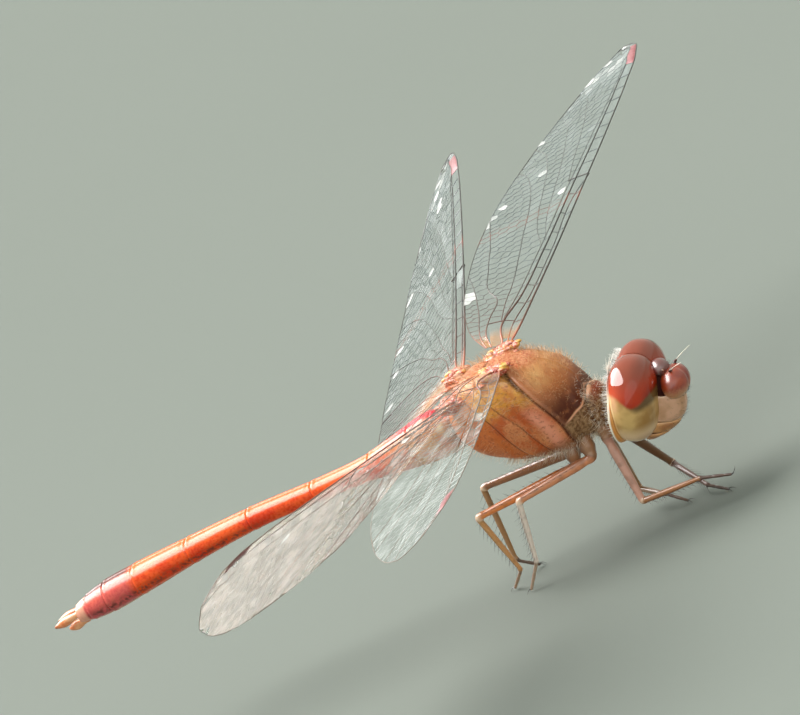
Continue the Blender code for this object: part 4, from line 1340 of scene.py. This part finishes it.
def leg(name, joints):
    """One leg as a tube, with its spines and its two hooked claws."""
    if joints[4][2] == FLOOR:
        joints[4] += (0, 0, FOOT_HEIGHT)
    path, at, reach = leg_path(joints)
    stations = [reach[j] + share * (reach[min(j + 1, 4)] - reach[j]) for j, share, _ in LEG_RADII]
    radii = np.interp(at, stations, [r for *_, r in LEG_RADII])
    across = unit(np.cross(joints[2] - joints[1], joints[3] - joints[2]))
    # The outer edge is the side of the tube that faces away from the leg's hollow.
    fields = dict(
        along=np.repeat(np.interp(at, reach, range(5)), LEG_SIDES),
        outer=np.tile(np.cos(turns(LEG_SIDES)), len(path)),
    )
    points, faces = sweep(path, radii, across, LEG_SIDES), capped(len(path), LEG_SIDES)
    nodes = [f"leg_{name}_{part}" for part in ("coxa", "femur", "tibia", "tarsus")]
    piece("leg_" + name, points, faces, leg_finish(name, *LEG_COLOURS_LIT_AND_SHADED[name]), "leg_tan", nodes, fields)
    roots, tips = spines(joints, path, at, reach, radii, across)
    way = unit(joints[4] - joints[3])
    aside = unit(np.cross(way, (0, 0, 1.0)))
    hook, bow = RAISED_CLAW if name == "fore_right" else STANDING_CLAW
    claw_roots = [path[-3] + aside * 0.02 * side for side in (-1, 1)]
    claw_tips = [path[-1] + way * 0.3 + aside * 0.14 * side + (0, 0, hook) for side in (-1, 1)]
    bend = np.vstack([0 * roots, [(0, 0, bow)] * 2])
    radius = np.repeat((SPINE_RADIUS, CLAW_RADIUS), (len(roots), 2))
    roots, tips = np.vstack([roots, claw_roots]), np.vstack([tips, claw_tips])
    tips[:, 2] = np.maximum(tips[:, 2], FLOOR + CLAW_HEIGHT)
    piece(f"leg_{name}_spines", *thorns(roots, tips, radius, bend, 7), black, "leg_tan")


black = Finish("spine_chitin", Roughness=0.3, Coat_Weight=0.3)
black.paint(black.clouded(5.0, "120d0a", "33241a"))
for name, joints in LEGS.items():
    leg(name, np.array(joints))

# ------------------------------------------------------------
# Tail. At the abdomen's end stand two tapering cerci, the upper claspers, and below them the
# shorter epiproct: hard, hairy horns of tan and orange cuticle.
# ------------------------------------------------------------
TAIL_X, TAIL_Z = RING_ENDS[-1], smooth(20.45, DROOP_PLACES, DROOP)
clasper = Finish("clasper_cuticle", Roughness=0.35, Coat_Weight=0.4)
point, x, *_ = clasper.place()
clasper.paint(
    clasper.mix(clasper.noise(point, 3.0, 3.0).step(0.35, 0.65), "d8743c", "eca878"),
    (x.step(TAIL_X - 0.9, TAIL_X - 1.35) * 0.6, "7a3a24"),
)
clasper.bump(clasper.noise(point, 14.0, 2.0), 0.012, 0.6)
CLASPER_STEPS, CLASPER_SIDES = 40, 20
s = np.linspace(0, 1, CLASPER_STEPS)
for name, side, up, length, droop, thick in (
    ("cercus_left", 0.3, 0.12, 1.32, -0.14, 0.19),
    ("cercus_right", -0.3, 0.12, 1.32, -0.14, 0.19),
    ("epiproct", 0.0, -0.37, 0.88, -0.06, 0.2),
):
    x, z = TAIL_X + 0.2 - (length + 0.2) * s, TAIL_Z + up + droop * s
    path = np.stack([x, side * (1 - 0.25 * s * (1 - s)), z + 0.09 * s * (1 - s) * 4 * (0.5 - s)], -1)
    radii = thick * np.sqrt(1 - s**4) * (0.62 + 0.5 * hump(s - 0.62, 0.3)) + 0.012
    points = sweep(path, radii, (0, 0, 1.0), CLASPER_SIDES)
    piece(name, points, capped(CLASPER_STEPS, CLASPER_SIDES), clasper, "face_tan", [name])

# ------------------------------------------------------------
# Hair. The thorax, the neck and the rear of the head wear soft pale hairs that stand off the
# skin and lean back, thickest below and in front; the face has short black bristles. Each
# hair is a thin three-sided blade that tapers to a point.
# ------------------------------------------------------------
PATCH = 0.003
HAIR_ROWS, HAIR_SIDES = 4, 3


def hairs(name, roots, out, lie, length, radius, unwrap, finish, slot="thorax_brown"):
    """Bowed blades: each starts along the skin's normal and bends over to its lie. Every point
    of a hair has its patch of the unwrap, PATCH across, at the hair's root."""
    length = np.asarray(length)[:, None]
    tips = roots + (out * 0.75 + lie * 0.65) * length
    bend = (out * 0.5 - lie * 0.35) * length
    radii = np.full(len(roots), radius)
    points, faces = thorns(roots - out * 0.03, tips, radii, bend, HAIR_ROWS, HAIR_SIDES)
    up, round_it = grid(np.linspace(-0.5, 0.5, HAIR_ROWS), np.linspace(-0.5, 0.5, HAIR_SIDES))
    corners = np.stack([round_it.ravel(), up.ravel()], -1)
    patches = (unwrap[:, None] + corners * PATCH).reshape(-1, 2)
    piece(name, points, faces, finish, slot, patches=patches, flat=True)


def hair_finish(name, first, second):
    """Hairs in two shades of one colour."""
    hair = Finish(name, Roughness=0.45)
    share = hair.noise(hair.place()[0], 2.0, 2.0).step(0.35, 0.65)
    hair.paint(hair.mix(share, first, second))
    return hair


def body_hairs(name, count, x_range, angle_range, length, finish, radius):
    """Hairs scattered over a stretch of the body skin, on both sides of it."""
    x = rng.uniform(*x_range, count)
    angle = np.radians(rng.uniform(*angle_range, count))
    angle = np.where(rng.uniform(size=count) < 0.5, angle, math.pi - angle)
    roots, step = body_point(x, angle), 0.02
    across = body_point(x, angle + step) - roots
    along = body_point(x + step, angle) - roots
    out = unit(np.cross(along, across))
    outward = (roots - (0, 0, -0.4)) * (0, 1, 1)
    out *= np.sign((out * outward).sum(1, keepdims=True))
    lie = np.array((-0.8, 0, 0.05)) + rng.normal(0, 0.35, (count, 3))
    out = out + rng.normal(0, 0.2, (count, 3))
    first, last = PROFILE[0][0], PROFILE[0][-1]
    unwrap = np.stack([angle / (2 * math.pi) % 1, (x - first) / (last - first)], -1)
    hairs(name, roots, out, lie, rng.uniform(*length, count), radius, unwrap, finish)


pale = hair_finish("pale_hair", "dcc4a4", "f0e6d8")
white = hair_finish("white_hair", "f2ece2", "ffffff")
gold = hair_finish("gold_hair", "c08850", "e4b88c")
dark = hair_finish("dark_hair", "1a100c", "3a2418")
# How many, where along the body and in degrees round it, how long, and the radius.
for coat in (
    ("hair_back", 2200, (-3.6, 1.7), (15, 90), (0.28, 0.58), gold, 0.007),
    ("hair_flank", 700, (-3.9, 1.6), (-75, 15), (0.15, 0.35), gold, 0.005),
    ("hair_breast", 1200, (-2.4, 1.7), (-90, -45), (0.25, 0.5), pale, 0.006),
    ("hair_collar", 1200, (1.85, 2.75), (-80, 90), (0.25, 0.5), pale, 0.008),
    ("hair_waist", 500, (-6.6, -3.9), (-90, 60), (0.2, 0.4), pale, 0.006),
):
    body_hairs(*coat)


def head_hairs(name, local, out, lie, *rest):
    """Hairs whose places and directions are given in the head's own axes."""
    out, lie = (on_head(way) - HEAD_CENTRE for way in (out, lie))
    hairs(name, on_head(local), out, lie, *rest)


def head_fringe():
    """A fringe of stiff white hairs on the rim behind the eyes, pointing back and out; those
    on top are longest and stand up."""
    count, tuft, tuft_turn = 420, 24, 2.2
    turn = rng.uniform(0, 2 * math.pi, count)
    turn[:tuft] = rng.normal(tuft_turn, 0.03, tuft)
    radial = np.stack([np.zeros(count), np.cos(turn), np.sin(turn)], -1)
    reach, forward = rim(turn)
    local = radial * (reach + rng.uniform(-0.1, 0.0, count))[:, None]
    local[:, 0], local[:, 2] = forward - 0.12, local[:, 2] + EYE_CENTRE[2]
    top = hump(turn - tuft_turn, 0.06)
    loose = 1 - 0.7 * top[:, None]
    local += np.outer(top, (-0.1, 0.2, -0.15))
    out = radial * 0.35 + (-0.8, 0, 0) + rng.normal(0, 0.12, (count, 3)) * loose
    out = out * (1 - top[:, None]) + np.outer(top, (0.3, 0.35, 0.85))
    lie = out * 0.6 + rng.normal(0, 0.12, (count, 3)) * loose
    unwrap = np.stack([turn / (2 * math.pi), np.full(count, 0.9)], -1)
    length = rng.uniform(0.18, 0.34, count) * (1 + 2.2 * top)
    head_hairs("hair_fringe", local, out, lie, length, 0.011, unwrap, white)


def face_hairs(name, count, levels, length, radius):
    """Bristles on the front of the face between two levels."""
    z = rng.uniform(*levels, count)
    t = rng.uniform(-0.9, 0.9, count)
    front, half = smooth(z, FACE_Z, FACE_FRONT) - 0.05, smooth(z, FACE_Z, FACE_HALF) - 0.05
    local = np.stack([FACE_BACK + (front - FACE_BACK) * np.cos(t), half * np.sin(t), z], -1)
    up = 0.5 * ease(z, 0.2, 1.1) + rng.normal(0, 0.15, count)
    out = unit(np.stack([np.cos(t), np.sin(t), up], -1))
    lie = np.array((0.2, 0, 0.5)) + rng.normal(0, 0.2, (count, 3))
    unwrap = np.stack([0.5 + t / (2 * math.pi), (z + 2.1) / 3.3], -1)
    head_hairs(name, local, out, lie, rng.uniform(*length, count), radius, unwrap, dark, "face_red")


head_fringe()
face_hairs("hair_frons", 420, (0.0, 1.12), (0.12, 0.28), 0.008)
face_hairs("hair_mouth", 130, (-2.0, -0.3), (0.1, 0.25), 0.005)

# ------------------------------------------------------------
# Stage: a plain grey-green floor, a wide soft light above and behind, a weaker one low in
# front, a soft box that only makes the bright spots on glossy parts, and a long lens that
# looks down on the insect's right side from ahead.
# ------------------------------------------------------------
FLOOR_REACH = 3.0  # metres from the middle to each edge
KEY_WAY, FILL_WAY = (-0.577, 0.163, 0.813), (0.62, -0.78, 0.12)
# The soft box: its direction and its long axis, and in metres its size and how far off it is.
BOX_WAY, BOX_AXIS = np.array((-0.477, 0.09, 0.875)), np.array((-0.563, 0.733, -0.382))
BOX_LONG, BOX_WIDE, BOX_AWAY = 0.9, 0.275, 0.4
VIEW_RIGHT, VIEW_UP = np.array((0.8222, 0.237, -0.5157)), np.array((0.38, 0.445, 0.8096))
VIEW_WIDTH, LENS = 34.8, 1400.0  # millimetres across the picture, and the lens on a 36 mm frame
AIM = np.array((-4.87, 0.0, 4.03))

floor_mesh = bpy.data.meshes.new("floor")
edge = FLOOR_REACH
corners = [(-edge, -edge, 0), (edge, -edge, 0), (edge, edge, 0), (-edge, edge, 0)]
floor_mesh.from_pydata(corners, [], [(0, 1, 2, 3)])
ground = Finish("floor_paper", Roughness=0.9, Specular_IOR_Level=0.2)
ground.paint(ground.clouded(0.02, "6b716b", "6f756f"))
floor_mesh.materials.append(ground.material)
floor = shown("floor", floor_mesh)
floor.location.z = cad_box[0].z


def posed(made, right, back, place):
    """Puts an object at a place, its own X axis along right and its Z axis along back."""
    pose = np.eye(4)
    pose[:3] = np.stack([right, np.cross(back, right), back, place], 1)
    made.matrix_world = Matrix(pose.tolist())


def soft_sun(name, direction, strength, width, colour=(1.0, 1.0, 1.0)):
    """A far, round, soft light of a given width in degrees, from a direction."""
    lamp = bpy.data.lights.new(name, "SUN")
    lamp.energy, lamp.angle, lamp.color = strength, math.radians(width), colour
    sun = shown(name, lamp)
    sun.rotation_euler = Vector(direction).to_track_quat("Z", "Y").to_euler()
    return sun


key = soft_sun("key_light", KEY_WAY, strength=5.6, width=46.0, colour=(1.0, 0.98, 0.94))
key.visible_glossy = False
soft_sun("fill_light", FILL_WAY, strength=0.7, width=80.0)

# A wide soft box that only shows as the bright spots on the glossy parts.
box = bpy.data.lights.new("soft_box", "AREA")
box.shape, box.size, box.size_y, box.energy = "ELLIPSE", BOX_LONG, BOX_WIDE, 8.5
soft_box = shown("soft_box", box)
posed(soft_box, BOX_AXIS, BOX_WAY, BODY * MM + BOX_WAY * BOX_AWAY)
soft_box.visible_diffuse = soft_box.visible_transmission = soft_box.visible_camera = False

world = bpy.data.worlds.new("studio")
world.use_nodes = True
sky = world.node_tree.nodes["Background"].inputs
sky["Color"].default_value = (*tint("dfe6dc"), 1.0)
sky["Strength"].default_value = 0.95
bpy.context.scene.world = world
bpy.context.scene.view_settings.view_transform = "Standard"

camera = shown("camera", bpy.data.cameras.new("camera"))
camera.data.lens, camera.data.sensor_width = LENS, 36.0
camera.data.clip_start, camera.data.clip_end = 0.01, 20.0
back = unit(np.cross(VIEW_RIGHT, VIEW_UP))
away = LENS / camera.data.sensor_width * VIEW_WIDTH * MM
posed(camera, unit(VIEW_RIGHT), back, (BODY + AIM) * MM + back * away)
bpy.context.scene.camera = camera
